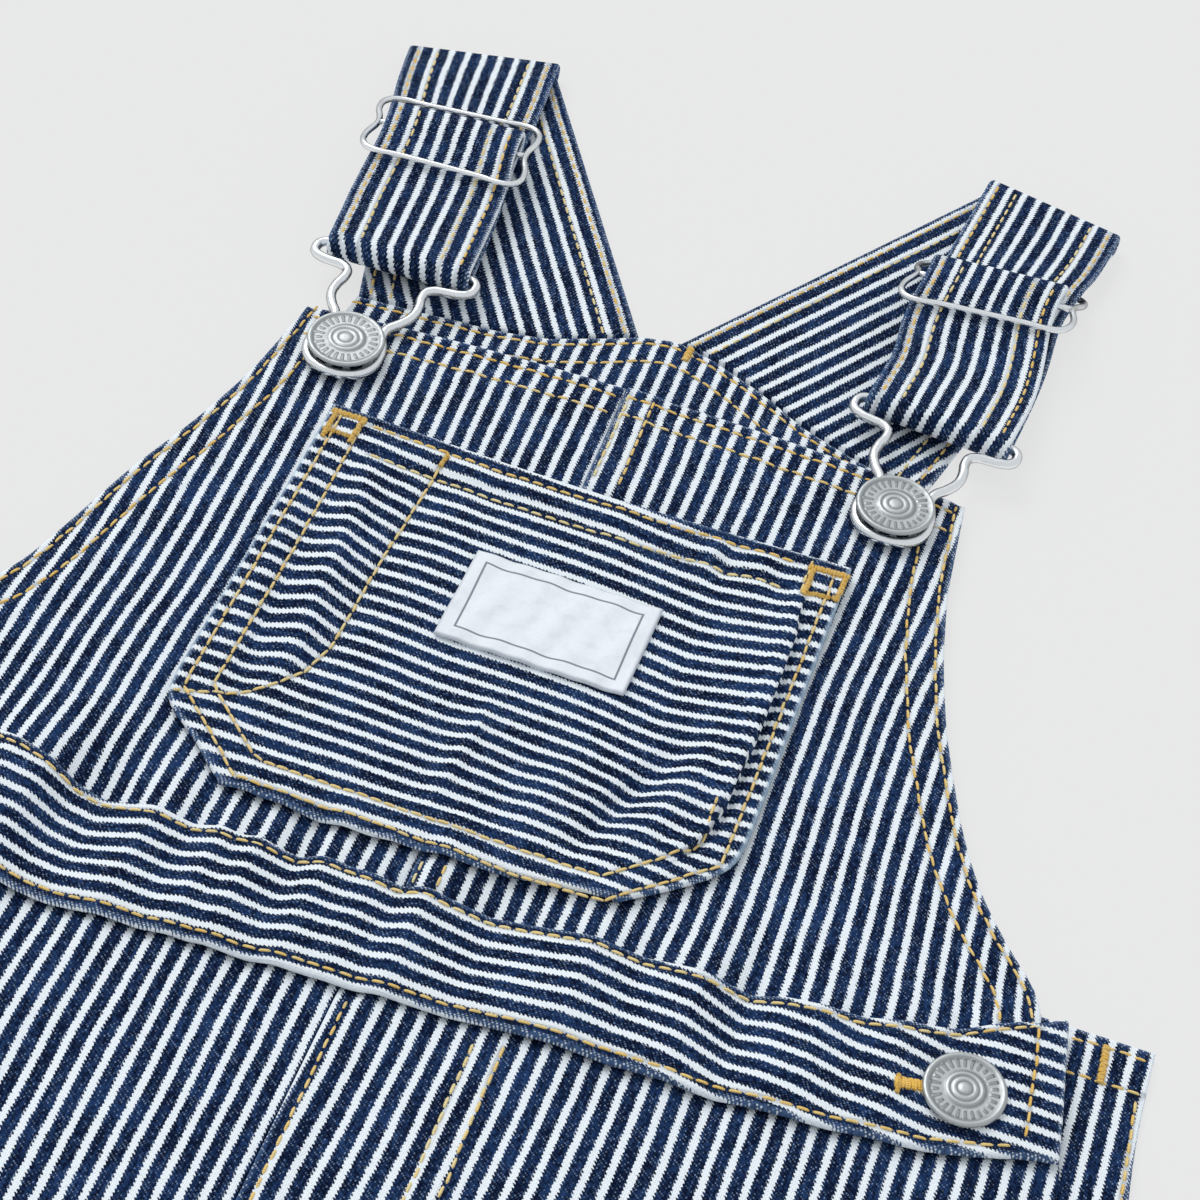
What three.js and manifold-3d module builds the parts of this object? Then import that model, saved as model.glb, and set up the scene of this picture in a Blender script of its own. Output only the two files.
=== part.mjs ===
// Kids bib overalls in striped denim, laid flat with the front up.
// Millimetres, +Z up, shoulders towards +Y, the wearer's left towards +X.
// The origin is the middle of the ground that the garment covers.
import * as THREE from 'three';
import { mergeVertices } from 'three/addons/utils/BufferGeometryUtils.js';
import Module from 'manifold-3d';

// Driving dimensions
const CLOTH = 1.2; // one layer of denim with its seam allowance
const BAND_CLOTH = 1.6; // the waistband, sewn double
const LABEL_CLOTH = 1.0; // woven label with its edges turned under
const STRAP_CLOTH = 1.4; // a strap, sewn double
const GAP = 0.3; // between pieces that are sewn or lie together
const HALF_LENGTH = 272; // shoulder fold to hem is twice this
const HEM_DEPTH = 14; // turned-up hem of a leg
const HEM_EXTRA = 0.5; // how far the turned hem stands proud
const CROTCH_Y = -66;
const HIP_Y = 80; // above it the bib sets the front's width, below it the legs do
const UNDER_BAND = 3.4; // how far a leg reaches under the waistband, and the bib twice that
const WIRE = 2.0; // buckle wire, across
const SLIDER_WIRE = 1.6;
const BUTTON_RADIUS = 7;
const HIP_BUTTON_RADIUS = 6.4;
const SHANK_RADIUS = 2.2;
const BUTTONHOLE = { length: 15, width: 5.2 };
const LABEL = { x: 4.7, y: 124.8, width: 33, height: 20.4 };
const POCKET = { x: 0.6, half: 47.5, top: 158, sag: 1.8, sagFrom: 0.6, open: 0.8, openFrom: 128 };
const BACK_LEG = { top: 85, dip: 13, dipInner: 78, dipOuter: 98 }; // the dip leaves room for the bib
const FRONT_LEG_TOP = 60; // nominal, only used to read the leg's width

// How far each side of the bib lies from the middle line, from the waistband up
const BIB = [
  { y: 58, left: 102, right: 102 },
  { y: 86, left: 98, right: 99.4 },
  { y: 92, left: 91, right: 93.7 },
  { y: 97, left: 85.8, right: 89.2 },
  { y: 104, left: 81.4, right: 84.2 },
  { y: 114, left: 78.5, right: 79.1 },
  { y: 132, left: 73.8, right: 72.1 },
  { y: 147, left: 68.5, right: 67.8 },
  { y: 162, left: 64.5, right: 64.8 },
  { y: 184, left: 61.4, right: 62.6 },
];
const BIB_TOP = { middle: 185.3, fall: 3, rise: 0.012 };

// The pocket's side edges, as distances from the middle line, with the lower corners cut off
const POCKET_SIDES = [
  { y: 73, left: 31, right: 31.5 },
  { y: 76, left: 35.2, right: 33.2 },
  { y: 79, left: 38, right: 36.8 },
  { y: 82, left: 42, right: 40.6 },
  { y: 84.5, left: 45.4, right: 43.4 },
  { y: 87.5, left: 46.7, right: 46.4 },
  { y: 91, left: 47, right: 48 },
  { y: 97, left: 47, right: 48.4 },
  { y: 158, left: 47, right: 48.1 },
];
const POCKET_FOOT = [
  { x: -32, y: 73.4 },
  { x: -14, y: 72.7 },
  { x: -8, y: 72.6 },
  { x: 0, y: 73.6 },
  { x: 10, y: 73.9 },
  { x: 20, y: 75.1 },
  { x: 32, y: 75.9 },
];

// The waistband's upper and lower edge, from the left hip to the right hip
const BAND = [
  { x: -106, top: 85, bottom: 58 },
  { x: -95, top: 78.5, bottom: 52.4 },
  { x: -85, top: 73.8, bottom: 49.2 },
  { x: -70, top: 69.4, bottom: 45.6 },
  { x: -58, top: 66.8, bottom: 43.6 },
  { x: -45, top: 64.6, bottom: 42.8 },
  { x: -20, top: 65.5, bottom: 44.4 },
  { x: 0, top: 66.4, bottom: 45.6 },
  { x: 25, top: 67.3, bottom: 47.6 },
  { x: 50, top: 68.7, bottom: 48.3 },
  { x: 70, top: 69.9, bottom: 49.5 },
  { x: 85, top: 73.8, bottom: 51.8 },
  { x: 95, top: 78.8, bottom: 54 },
  { x: 106, top: 85.5, bottom: 58.8 },
];
const BAND_END = { top: 103.4, bottom: 107.4 };

// The legs: how far each edge lies from the middle line
const LEGS = [
  { y: -272, inner: 27, front: 137, back: 139 },
  { y: -200, inner: 18.5, front: 135.5, back: 137.5 },
  { y: -120, inner: 8, front: 132.5, back: 134.5 },
  { y: -80, inner: 2.6, front: 129.5, back: 131.5 },
  { y: -66, inner: 0.15, front: 128, back: 130 },
  { y: -20, inner: 0.15, front: 122.5, back: 126 },
  { y: 20, inner: 0.15, front: 115, back: 122 },
  { y: 50, inner: 0.15, front: 108.8, back: 119.6 },
  { y: 66, inner: 0.15, front: 106.5, back: 117.8 },
  { y: 86, inner: 0.15, front: 105, back: 117.4 },
];

// The back panel behind the bib: its half width, and its peaked top edge
const BACK = [
  { y: 70, half: 98 },
  { y: 86, half: 85 },
  { y: 100, half: 78 },
  { y: 120, half: 70 },
  { y: 145, half: 61 },
  { y: 190, half: 55 },
];
const BACK_TOP = [
  { x: -56, y: 189.5 },
  { x: -47, y: 190.6 },
  { x: -30, y: 191.6 },
  { x: -19, y: 194 },
  { x: -4, y: 201.5 },
  { x: 3, y: 203 },
  { x: 11, y: 201.5 },
  { x: 19, y: 198 },
  { x: 30, y: 192 },
  { x: 42, y: 187.6 },
  { x: 56, y: 183.5 },
];

// How far the front stands off the back, along the garment
const LOFT = [
  { y: -272, rise: 2.0 },
  { y: -180, rise: 3.2 },
  { y: -60, rise: 3.4 },
  { y: 30, rise: 2.6 },
  { y: 75, rise: 2.2 },
  { y: 130, rise: 1.8 },
  { y: 190, rise: 0.6 },
];

// The largest folds of the front: the middle of each, its turn, and its size
const FOLDS = [
  { x: -62, y: 20, turn: 70, long: 46, wide: 6, high: 1.3 },
  { x: 38, y: 12, turn: 98, long: 52, wide: 7, high: 1.2 },
  { x: 92, y: 6, turn: 112, long: 50, wide: 7, high: 1.4 },
  { x: -100, y: -30, turn: 78, long: 60, wide: 8, high: 1.5 },
  { x: 22, y: -52, turn: 38, long: 44, wide: 7, high: 1.6 },
  { x: -24, y: -54, turn: 144, long: 42, wide: 7, high: 1.5 },
  { x: 88, y: -128, turn: 62, long: 48, wide: 9, high: 1.7 },
  { x: -78, y: -140, turn: 122, long: 52, wide: 9, high: 1.6 },
  { x: 72, y: -205, turn: 104, long: 46, wide: 8, high: 1.3 },
  { x: -98, y: -214, turn: 82, long: 44, wide: 8, high: 1.2 },
  { x: 78, y: 118, turn: 66, long: 22, wide: 5, high: 0.8 },
  { x: -73, y: 104, turn: 118, long: 24, wide: 5, high: 0.9 },
];

// The pocket's ripples, in the same terms
const RIPPLES = [
  { x: -36, y: 122.5, turn: 80, long: 26, wide: 4.5, high: 1.5 },
  { x: -14, y: 98.5, turn: 74, long: 20, wide: 5, high: 0.9 },
  { x: 12, y: 92.5, turn: 84, long: 18, wide: 5, high: 1.1 },
  { x: 36, y: 122.5, turn: 92, long: 34, wide: 4, high: 1.3 },
  { x: 24, y: 144.5, turn: 84, long: 14, wide: 5, high: 0.8 },
];

// The waistband's puckers
const PUCKERS = [
  { x: -92, y: 63.5, turn: 116, long: 12, wide: 4.5, high: 1.0 },
  { x: -66, y: 57.5, turn: 52, long: 14, wide: 4.5, high: 1.4 },
  { x: -43, y: 53.5, turn: 60, long: 13, wide: 4, high: 1.5 },
  { x: -20, y: 54.5, turn: 66, long: 12, wide: 4, high: 1.0 },
  { x: 2, y: 55.5, turn: 70, long: 12, wide: 4.5, high: 1.1 },
  { x: 24, y: 56.5, turn: 62, long: 13, wide: 4, high: 1.2 },
  { x: 46, y: 57.5, turn: 64, long: 13, wide: 4.5, high: 1.3 },
  { x: 66, y: 59.5, turn: 58, long: 12, wide: 4, high: 1.2 },
];

// Each strap: where its seam on the back panel starts and ends, its shoulder fold, its buckle
// end, and the slider's bars as parts of the run between those two. A slider leans by a part per
// millimetre towards the outer side and is shifted by a distance to that side. The strap is
// swayed to the same side where it passes the slider, apart on the run and on the loop.
const STRAPS = {
  left: {
    seam: [-55, -4.3],
    fold: { outer: [-71.6, 258], inner: [-42.4, 265.6] },
    end: { outer: [-63.6, 196.6], inner: [-36.3, 197.9] },
    slider: { top: 0.305, middle: 0.46, low: 0.618, lean: -0.0012, shift: -0.8, tuckTop: false },
    sway: { run: -0.6, loop: -0.8 },
    button: [-50.6, 172.4],
  },
  right: {
    seam: [55, 3.6],
    fold: { outer: [73.6, 264.2], inner: [46, 269.7] },
    end: { outer: [67, 197.6], inner: [39.9, 199.4] },
    slider: { top: 0.33, middle: 0.462, low: 0.594, lean: -0.0034, shift: -2.1, tuckTop: true },
    sway: { run: -1, loop: -2.6 },
    button: [51.4, 174],
  },
};
const HIP_BUTTONS = { left: [-91.2, 62.8], right: [91.2, 63.6] };

// Heights that follow from the layers
const BACK_TOP_FACE = CLOTH;
const FRONT_TOP_FACE = BACK_TOP_FACE + GAP + CLOTH;
const FOLD_RADIUS = 1.5; // of a strap's middle surface, at the shoulder
const RUN_Z = STRAP_CLOTH / 2 + 2 * FOLD_RADIUS; // the run down from the shoulder
const BUCKLE_TURN = WIRE / 2 + GAP + STRAP_CLOTH / 2;
const BUCKLE_Z = 5.7; // the buckle's upper bar
const SLIDER_TURN = SLIDER_WIRE / 2 + GAP + STRAP_CLOTH / 2;
const END_Z = RUN_Z + STRAP_CLOTH + GAP; // the strap's end, tucked under the slider
const SLIDER_Z = END_Z + SLIDER_TURN; // the slider's middle bar

// Reads a column of a table at a place along it, on straight lines between its rows
function read(table, along, place, column) {
  const last = table.length - 1;
  let row = 0;
  while (row < last - 1 && place > table[row + 1][along]) row += 1;
  const [a, b] = [table[row], table[row + 1]];
  const part = THREE.MathUtils.clamp((place - a[along]) / (b[along] - a[along]), 0, 1);
  return THREE.MathUtils.lerp(a[column], b[column], part);
}

// The same, smoothed over a short reach on both sides
function readSmooth(table, along, place, column, reach) {
  const steps = [-1, -0.5, 0, 0.5, 1];
  const values = steps.map((step) => read(table, along, place + step * reach, column));
  return values.reduce((sum, value) => sum + value, 0) / steps.length;
}

// The height that a list of soft ridges adds at a place
function ridges(list, x, y) {
  let sum = 0;
  for (const ridge of list) {
    const turn = THREE.MathUtils.degToRad(ridge.turn);
    const [dx, dy] = [x - ridge.x, y - ridge.y];
    const along = (dx * Math.cos(turn) + dy * Math.sin(turn)) / ridge.long;
    const across = (dy * Math.cos(turn) - dx * Math.sin(turn)) / ridge.wide;
    sum += ridge.high * Math.exp(-along * along * 2 - across * across);
  }
  return sum;
}

const bibEdge = (x, y) => readSmooth(BIB, 'y', y, x < 0 ? 'left' : 'right', 4);
const legEdge = (y, column) => readSmooth(LEGS, 'y', y, column, 6);
const bandEdge = (x, column) => readSmooth(BAND, 'x', x, column, 4);

// How far a place is from the middle of its panel to the panel's side: 0 to 1
function towardsSide(x, y) {
  const body = Math.abs(x) / (y > HIP_Y ? bibEdge(x, y) : legEdge(y, 'front'));
  const [inner, outer] = [legEdge(y, 'inner'), legEdge(y, 'front')];
  const leg = Math.abs(Math.abs(x) - (inner + outer) / 2) / ((outer - inner) / 2);
  const split = THREE.MathUtils.smoothstep(-y, -CROTCH_Y - 20, -CROTCH_Y + 16);
  const side = body ** 4 * (1 - split) + leg ** 4 * split;
  return Math.min(side, 1);
}

// The upper face of the front at a place
function frontTop(x, y) {
  const lifted = 1 - towardsSide(x, y);
  return FRONT_TOP_FACE + lifted * (readSmooth(LOFT, 'y', y, 'rise', 12) + ridges(FOLDS, x, y));
}

const pocketTop = (x, y) => {
  const open = THREE.MathUtils.smoothstep(y, POCKET.openFrom, POCKET.top) * POCKET.open;
  return frontTop(x, y) + GAP + CLOTH + open + ridges(RIPPLES, x, y);
};
const bandTop = (x, y) => frontTop(x, y) + GAP + BAND_CLOTH + ridges(PUCKERS, x, y);

// A wall of cloth: an upper and a lower grid of points, joined round their rim
function wall(upper, lower) {
  const [rows, columns] = [upper.length, upper[0].length];
  const positions = [...upper.flat(), ...lower.flat()].flat();
  const at = (side, i, j) => (side * rows + i) * columns + j;
  const index = [];
  const quad = (a, b, c, d) => index.push(a, b, c, a, c, d);
  for (let i = 0; i < rows - 1; i += 1) {
    for (let j = 0; j < columns - 1; j += 1) {
      quad(at(0, i, j), at(0, i, j + 1), at(0, i + 1, j + 1), at(0, i + 1, j));
      quad(at(1, i, j), at(1, i + 1, j), at(1, i + 1, j + 1), at(1, i, j + 1));
    }
  }
  const [top, right] = [rows - 1, columns - 1];
  for (let j = 0; j < right; j += 1) {
    quad(at(1, 0, j), at(1, 0, j + 1), at(0, 0, j + 1), at(0, 0, j));
    quad(at(1, top, j + 1), at(1, top, j), at(0, top, j), at(0, top, j + 1));
  }
  for (let i = 0; i < top; i += 1) {
    quad(at(1, i + 1, 0), at(1, i, 0), at(0, i, 0), at(0, i + 1, 0));
    quad(at(1, i, right), at(1, i + 1, right), at(0, i + 1, right), at(0, i, right));
  }
  const geometry = new THREE.BufferGeometry();
  geometry.setAttribute('position', new THREE.Float32BufferAttribute(positions, 3));
  geometry.setIndex(index);
  return geometry;
}

// A panel: its outline maps the unit square to the ground, its faces are heights
function panel(columns, rows, place, topFace, bottomFace) {
  const upper = [];
  const lower = [];
  for (let i = 0; i <= rows; i += 1) {
    const points = Array.from({ length: columns + 1 }, (_, j) => place(j / columns, i / rows));
    upper.push(points.map(([x, y]) => [x, y, topFace(x, y)]));
    lower.push(points.map(([x, y]) => [x, y, bottomFace(x, y)]));
  }
  return wall(upper, lower);
}

// A ribbon: rows of points from left to right, thickened about its middle surface
function ribbon(rows, thickness) {
  const middle = rows.map((row) => row[0].clone().lerp(row.at(-1), 0.5));
  const faces = [[], []];
  rows.forEach((row, i) => {
    const before = middle[Math.max(i - 1, 0)];
    const after = middle[Math.min(i + 1, rows.length - 1)];
    const run = after.clone().sub(before).normalize();
    const normal = row.at(-1).clone().sub(row[0]).cross(run).normalize();
    faces.forEach((face, side) => {
      const shift = normal.clone().multiplyScalar(thickness * (0.5 - side));
      face.push(row.map((point) => point.clone().add(shift).toArray()));
    });
  });
  return wall(faces[0], faces[1]);
}

// A round wire along points that never stand upright, closed on itself or capped
function wire(points, diameter, closed) {
  const sides = 8;
  const count = points.length;
  const up = new THREE.Vector3(0, 0, 1);
  const positions = [];
  points.forEach((point, i) => {
    const before = closed ? points[(i + count - 1) % count] : points[Math.max(i - 1, 0)];
    const after = closed ? points[(i + 1) % count] : points[Math.min(i + 1, count - 1)];
    const run = after.clone().sub(before).normalize();
    const across = run.clone().cross(up).normalize();
    const lift = across.clone().cross(run);
    for (let k = 0; k < sides; k += 1) {
      const angle = (k / sides) * 2 * Math.PI;
      const spoke = across.clone().multiplyScalar(Math.cos(angle) * diameter / 2);
      spoke.addScaledVector(lift, Math.sin(angle) * diameter / 2);
      positions.push(...point.clone().add(spoke).toArray());
    }
  });
  const index = [];
  const rings = closed ? count : count - 1;
  for (let i = 0; i < rings; i += 1) {
    for (let k = 0; k < sides; k += 1) {
      const [a, b] = [i * sides + k, i * sides + ((k + 1) % sides)];
      const [c, d] = [a, b].map((vertex) => (vertex + sides) % (count * sides));
      index.push(a, d, b, a, c, d);
    }
  }
  if (!closed) {
    const last = (count - 1) * sides;
    for (let k = 1; k < sides - 1; k += 1) {
      index.push(0, k, k + 1);
      index.push(last, last + k + 1, last + k);
    }
  }
  const geometry = new THREE.BufferGeometry();
  geometry.setAttribute('position', new THREE.Float32BufferAttribute(positions, 3));
  geometry.setIndex(index);
  return geometry;
}

// Joins and cuts
const solids = await Module();
solids.setup();

function toSolid(geometry) {
  const bare = new THREE.BufferGeometry();
  bare.setAttribute('position', geometry.getAttribute('position').clone());
  if (geometry.index) bare.setIndex(geometry.index.clone());
  const merged = mergeVertices(bare, 1e-5);
  return new solids.Manifold(new solids.Mesh({
    numProp: 3,
    vertProperties: new Float32Array(merged.getAttribute('position').array),
    triVerts: new Uint32Array(merged.index.array),
  }));
}

function toGeometry(solid) {
  const mesh = solid.getMesh();
  const geometry = new THREE.BufferGeometry();
  geometry.setAttribute('position', new THREE.Float32BufferAttribute(mesh.vertProperties, 3));
  geometry.setIndex(Array.from(mesh.triVerts));
  return geometry;
}

const overalls = new THREE.Group();
const DENIM = { color: 0x3c4c72, roughness: 0.92, metalness: 0 };
const LABEL_WHITE = { color: 0xe6e6e2, roughness: 0.85, metalness: 0 };
const NICKEL = { color: 0xb9bab8, roughness: 0.34, metalness: 1 };

function add(name, geometry, finish) {
  const mesh = new THREE.Mesh(geometry, new THREE.MeshStandardMaterial(finish));
  mesh.name = name;
  overalls.add(mesh);
}

const SIDES = [
  { name: 'left', sign: -1 },
  { name: 'right', sign: 1 },
];

// Half of a mirrored outline, kept running from low to high x
const across = (u, sign) => (sign > 0 ? u : 1 - u);

// A place whose width follows from its height and whose height follows from its width
const SETTLE_STEPS = 6;
function settle(start, widthAt, heightAt) {
  let [x, y] = [0, start];
  for (let step = 0; step < SETTLE_STEPS; step += 1) {
    x = widthAt(y);
    y = heightAt(x);
  }
  return [x, y];
}

// The bib: two halves that meet at the centre seam
function bibPlace(u, v, sign) {
  const widthAt = (y) => sign * THREE.MathUtils.lerp(GAP / 2, bibEdge(sign, y), across(u, sign));
  const heightAt = (x) => {
    const high = BIB_TOP.middle - BIB_TOP.fall * (x / BIB.at(-1).right) ** 2 + BIB_TOP.rise * x;
    return THREE.MathUtils.lerp(bandEdge(x, 'top') - 2 * UNDER_BAND, high, v);
  };
  return settle(THREE.MathUtils.lerp(BIB[0].y, BIB.at(-1).y, v), widthAt, heightAt);
}

for (const { name, sign } of SIDES) {
  const place = (u, v) => bibPlace(u, v, sign);
  add(`bib_${name}`, panel(8, 14, place, frontTop, (x, y) => frontTop(x, y) - CLOTH), DENIM);
}

// The bib pocket, with its two lower corners cut off
function pocketPlace(u, v) {
  const side = (y, column) => readSmooth(POCKET_SIDES, 'y', y, column, 1.5);
  const widthAt = (y) => THREE.MathUtils.lerp(-side(y, 'left'), side(y, 'right'), u);
  const heightAt = (x) => {
    const sagging = 1 - Math.min(Math.abs((x - POCKET.x) / POCKET.half), 1) ** 2;
    const sag = POCKET.sag * sagging * THREE.MathUtils.smoothstep(v, POCKET.sagFrom, 1);
    return THREE.MathUtils.lerp(readSmooth(POCKET_FOOT, 'x', x, 'y', 3), POCKET.top, v) - sag;
  };
  return settle(THREE.MathUtils.lerp(POCKET_SIDES[0].y, POCKET.top, v), widthAt, heightAt);
}
add('bib_pocket', panel(16, 16, pocketPlace, pocketTop, (x, y) => pocketTop(x, y) - CLOTH), DENIM);

// The woven label on the pocket
const labelPlace = (u, v) => [LABEL.x + LABEL.width * (u - 0.5), LABEL.y + LABEL.height * (v - 0.5)];
const labelBottom = (x, y) => pocketTop(x, y) + GAP;
const labelTop = (x, y) => labelBottom(x, y) + LABEL_CLOTH;
add('pocket_label', panel(8, 5, labelPlace, labelTop, labelBottom), LABEL_WHITE);

// The front waistband, with a buttonhole near each end
function bandPlace(u, v) {
  const end = THREE.MathUtils.lerp(BAND_END.bottom, BAND_END.top, v);
  const x = end * (2 * u - 1);
  return [x, THREE.MathUtils.lerp(bandEdge(x, 'bottom'), bandEdge(x, 'top'), v)];
}
const bandGeometry = panel(40, 4, bandPlace, bandTop, (x, y) => bandTop(x, y) - BAND_CLOTH);
let band = toSolid(bandGeometry);
for (const { name, sign } of SIDES) {
  const [x, y] = HIP_BUTTONS[name];
  const slot = new THREE.BoxGeometry(BUTTONHOLE.length, BUTTONHOLE.width, 30);
  slot.translate(x - sign * (BUTTONHOLE.length - BUTTONHOLE.width) / 2, y, 0);
  band = band.subtract(toSolid(slot));
}
add('waistband_front', toGeometry(band), DENIM);

// The front of each leg, from under the waistband to the turned-up hem
function frontLegPlace(u, v, sign) {
  const nominal = THREE.MathUtils.lerp(-HALF_LENGTH, FRONT_LEG_TOP, v);
  const [inner, outer] = [legEdge(nominal, 'inner'), legEdge(nominal, 'front')];
  const x = sign * THREE.MathUtils.lerp(inner, outer, across(u, sign));
  return [x, THREE.MathUtils.lerp(-HALF_LENGTH, bandEdge(x, 'bottom') + UNDER_BAND, v)];
}

function frontLegTop(x, y) {
  const hem = y < -HALF_LENGTH + HEM_DEPTH ? HEM_EXTRA : 0;
  return frontTop(x, y) + hem;
}

for (const { name, sign } of SIDES) {
  const place = (u, v) => frontLegPlace(u, v, sign);
  const low = (x, y) => frontTop(x, y) - CLOTH;
  add(`front_leg_${name}`, panel(10, 24, place, frontLegTop, low), DENIM);
}

// The back of each leg, flat on the ground, up to the hip above the waistband
function backLegHigh(x) {
  const beside = THREE.MathUtils.smoothstep(Math.abs(x), BACK_LEG.dipInner, BACK_LEG.dipOuter);
  return BACK_LEG.top - BACK_LEG.dip * (1 - beside);
}

function backLegPlace(u, v, sign) {
  const nominal = THREE.MathUtils.lerp(-HALF_LENGTH, BACK_LEG.top, v);
  const [inner, outer] = [legEdge(nominal, 'inner'), legEdge(nominal, 'back')];
  const x = sign * THREE.MathUtils.lerp(inner, outer, across(u, sign));
  return [x, THREE.MathUtils.lerp(-HALF_LENGTH, backLegHigh(x), v)];
}

for (const { name, sign } of SIDES) {
  const place = (u, v) => backLegPlace(u, v, sign);
  add(`back_leg_${name}`, panel(16, 16, place, () => BACK_TOP_FACE, () => 0), DENIM);
}

// The back panel above the legs, peaked between the straps
const BACK_SEAM_GAP = 0.6;
function backPlace(u, v) {
  const nominal = THREE.MathUtils.lerp(BACK[0].y, BACK.at(-1).y, v);
  const x = readSmooth(BACK, 'y', nominal, 'half', 4) * (2 * u - 1);
  const low = backLegHigh(x) + BACK_SEAM_GAP;
  return [x, THREE.MathUtils.lerp(low, read(BACK_TOP, 'x', x, 'y'), v)];
}
add('back_panel', panel(28, 8, backPlace, () => BACK_TOP_FACE, () => 0), DENIM);

// The height of the strap's run under the slider and down to the buckle
const TUCK = { lift: 0.9, reach: 0.07 }; // where the run rides over a slider's tucked bar
function runHeight(part, slider) {
  const bump = slider.tuckTop ? Math.exp(-(((part - slider.top) / TUCK.reach) ** 2)) : 0;
  return THREE.MathUtils.lerp(RUN_Z, BUCKLE_Z - BUCKLE_TURN, part) + TUCK.lift * bump;
}

// The height of the turned-back stretch, from the slider down to the buckle
const RETURN = { tail: 0.12, down: 0.13, lowAt: 0.7, low: 6, liftAt: 0.85, lift: 6.2 };
function returnHeight(part, slider) {
  const stations = [
    { part: slider.middle, z: SLIDER_Z + SLIDER_TURN },
    { part: slider.middle + RETURN.down, z: END_Z + STRAP_CLOTH + GAP },
    { part: RETURN.lowAt, z: RETURN.low },
    { part: RETURN.liftAt, z: RETURN.lift },
    { part: 1, z: BUCKLE_Z + BUCKLE_TURN },
  ];
  return readSmooth(stations, 'part', part, 'z', 0.03);
}

const flat = ([x, y], z) => new THREE.Vector3(x, y, z);
const STRAP_COLUMNS = 6;
const STRAP_SEAM_GAP = 0.5;
const PINCH = { depth: 1.3, reach: 0.16 }; // the strap is narrower where it passes the slider
const LEAN_REACH = 0.3; // how far along the strap its rows lean with the slider
const SWAY = { reach: 0.25, from: 0.05, to: 0.85 };
const LOOP_RUN = 3.2; // the strap goes on this far past the slider's middle bar, then turns

function runLength({ fold, end }) {
  const middle = (edge) => flat(edge.outer, 0).lerp(flat(edge.inner, 0), 0.5);
  return middle(fold).distanceTo(middle(end));
}

// The strap's two edges, part way from the fold to the buckle
function runEdges({ fold, end }, part) {
  const outer = flat(fold.outer, 0).lerp(flat(end.outer, 0), part);
  const inner = flat(fold.inner, 0).lerp(flat(end.inner, 0), part);
  return [outer, inner];
}

// A place beside the strap's middle line, at a distance towards the outer side
function beside(strap, part, reach, z) {
  const [outer, inner] = runEdges(strap, part);
  const way = outer.clone().sub(inner).normalize();
  return outer.lerp(inner, 0.5).addScaledVector(way, reach).setZ(z);
}

// A row across the strap, part way from the fold to the buckle
function runRow(strap, part, z, shift) {
  const { slider, sign } = strap;
  const off = part - slider.middle;
  const [outer, inner] = runEdges(strap, part);
  const half = outer.distanceTo(inner) / 2 - PINCH.depth * Math.exp(-((off / PINCH.reach) ** 2));
  const lean = slider.lean * Math.exp(-((off / LEAN_REACH) ** 4));
  const columns = Array.from({ length: STRAP_COLUMNS + 1 }, (_, j) => (2 * j) / STRAP_COLUMNS - 1);
  return columns.map((column) => {
    const reach = sign * column * half + shift;
    return beside(strap, part + lean * reach, reach, z);
  });
}

// A row across the strap's back, part way from its seam on the panel to the fold
function backRow(strap, part) {
  const [outer, inner] = strap.seam;
  const [from, to] = strap.sign < 0 ? [outer, inner] : [inner, outer];
  const folded = runRow(strap, 0, STRAP_CLOTH / 2, 0);
  return folded.map((point, j) => {
    const x = THREE.MathUtils.lerp(from, to, j / STRAP_COLUMNS);
    const seam = flat([x, read(BACK_TOP, 'x', x, 'y') + STRAP_SEAM_GAP], STRAP_CLOTH / 2);
    return seam.lerp(point, part);
  });
}

// One strap from its seam, over the shoulder, round the buckle and back to the slider
const STRAP_ROWS = { back: 5, fold: 5, run: 14, buckle: 6, backUp: 12, loop: 6 };
function strapRows(strap) {
  const { slider, sway } = strap;
  const length = runLength(strap);
  const rows = [];
  const turn = (part, radius, z, first, last, steps, shift) => {
    for (let k = 1; k < steps; k += 1) {
      const angle = THREE.MathUtils.lerp(first, last, k / steps);
      const away = part + radius * Math.cos(angle) / length;
      rows.push(runRow(strap, away, z + radius * Math.sin(angle), shift));
    }
  };
  const runShift = (part) => sway.run * Math.exp(-(((part - slider.middle) / SWAY.reach) ** 2));
  const loopShift = (part) => {
    const low = THREE.MathUtils.smoothstep(part, slider.middle + SWAY.from, SWAY.to);
    return sway.loop * (1 - low);
  };
  const [down, up] = [-Math.PI / 2, Math.PI / 2];
  const loopPart = slider.middle - LOOP_RUN / length;
  for (let k = 0; k <= STRAP_ROWS.back; k += 1) rows.push(backRow(strap, k / STRAP_ROWS.back));
  turn(0, FOLD_RADIUS, STRAP_CLOTH / 2 + FOLD_RADIUS, down, down - Math.PI, STRAP_ROWS.fold, 0);
  for (let k = 0; k <= STRAP_ROWS.run; k += 1) {
    const part = k / STRAP_ROWS.run;
    rows.push(runRow(strap, part, runHeight(part, slider), runShift(part)));
  }
  turn(1, BUCKLE_TURN, BUCKLE_Z, down, up, STRAP_ROWS.buckle, 0);
  for (let k = 0; k <= STRAP_ROWS.backUp; k += 1) {
    const part = THREE.MathUtils.lerp(1, loopPart, k / STRAP_ROWS.backUp);
    rows.push(runRow(strap, part, returnHeight(part, slider), loopShift(part)));
  }
  turn(loopPart, SLIDER_TURN, SLIDER_Z, up, up + Math.PI, STRAP_ROWS.loop, sway.loop);
  rows.push(runRow(strap, loopPart, END_Z, sway.loop));
  rows.push(runRow(strap, slider.middle, END_Z, sway.loop));
  rows.push(runRow(strap, slider.middle + RETURN.tail, END_Z, sway.loop));
  return rows;
}

for (const { name, sign } of SIDES) {
  add(`strap_${name}`, ribbon(strapRows({ ...STRAPS[name], sign }), STRAP_CLOTH), DENIM);
}

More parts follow.
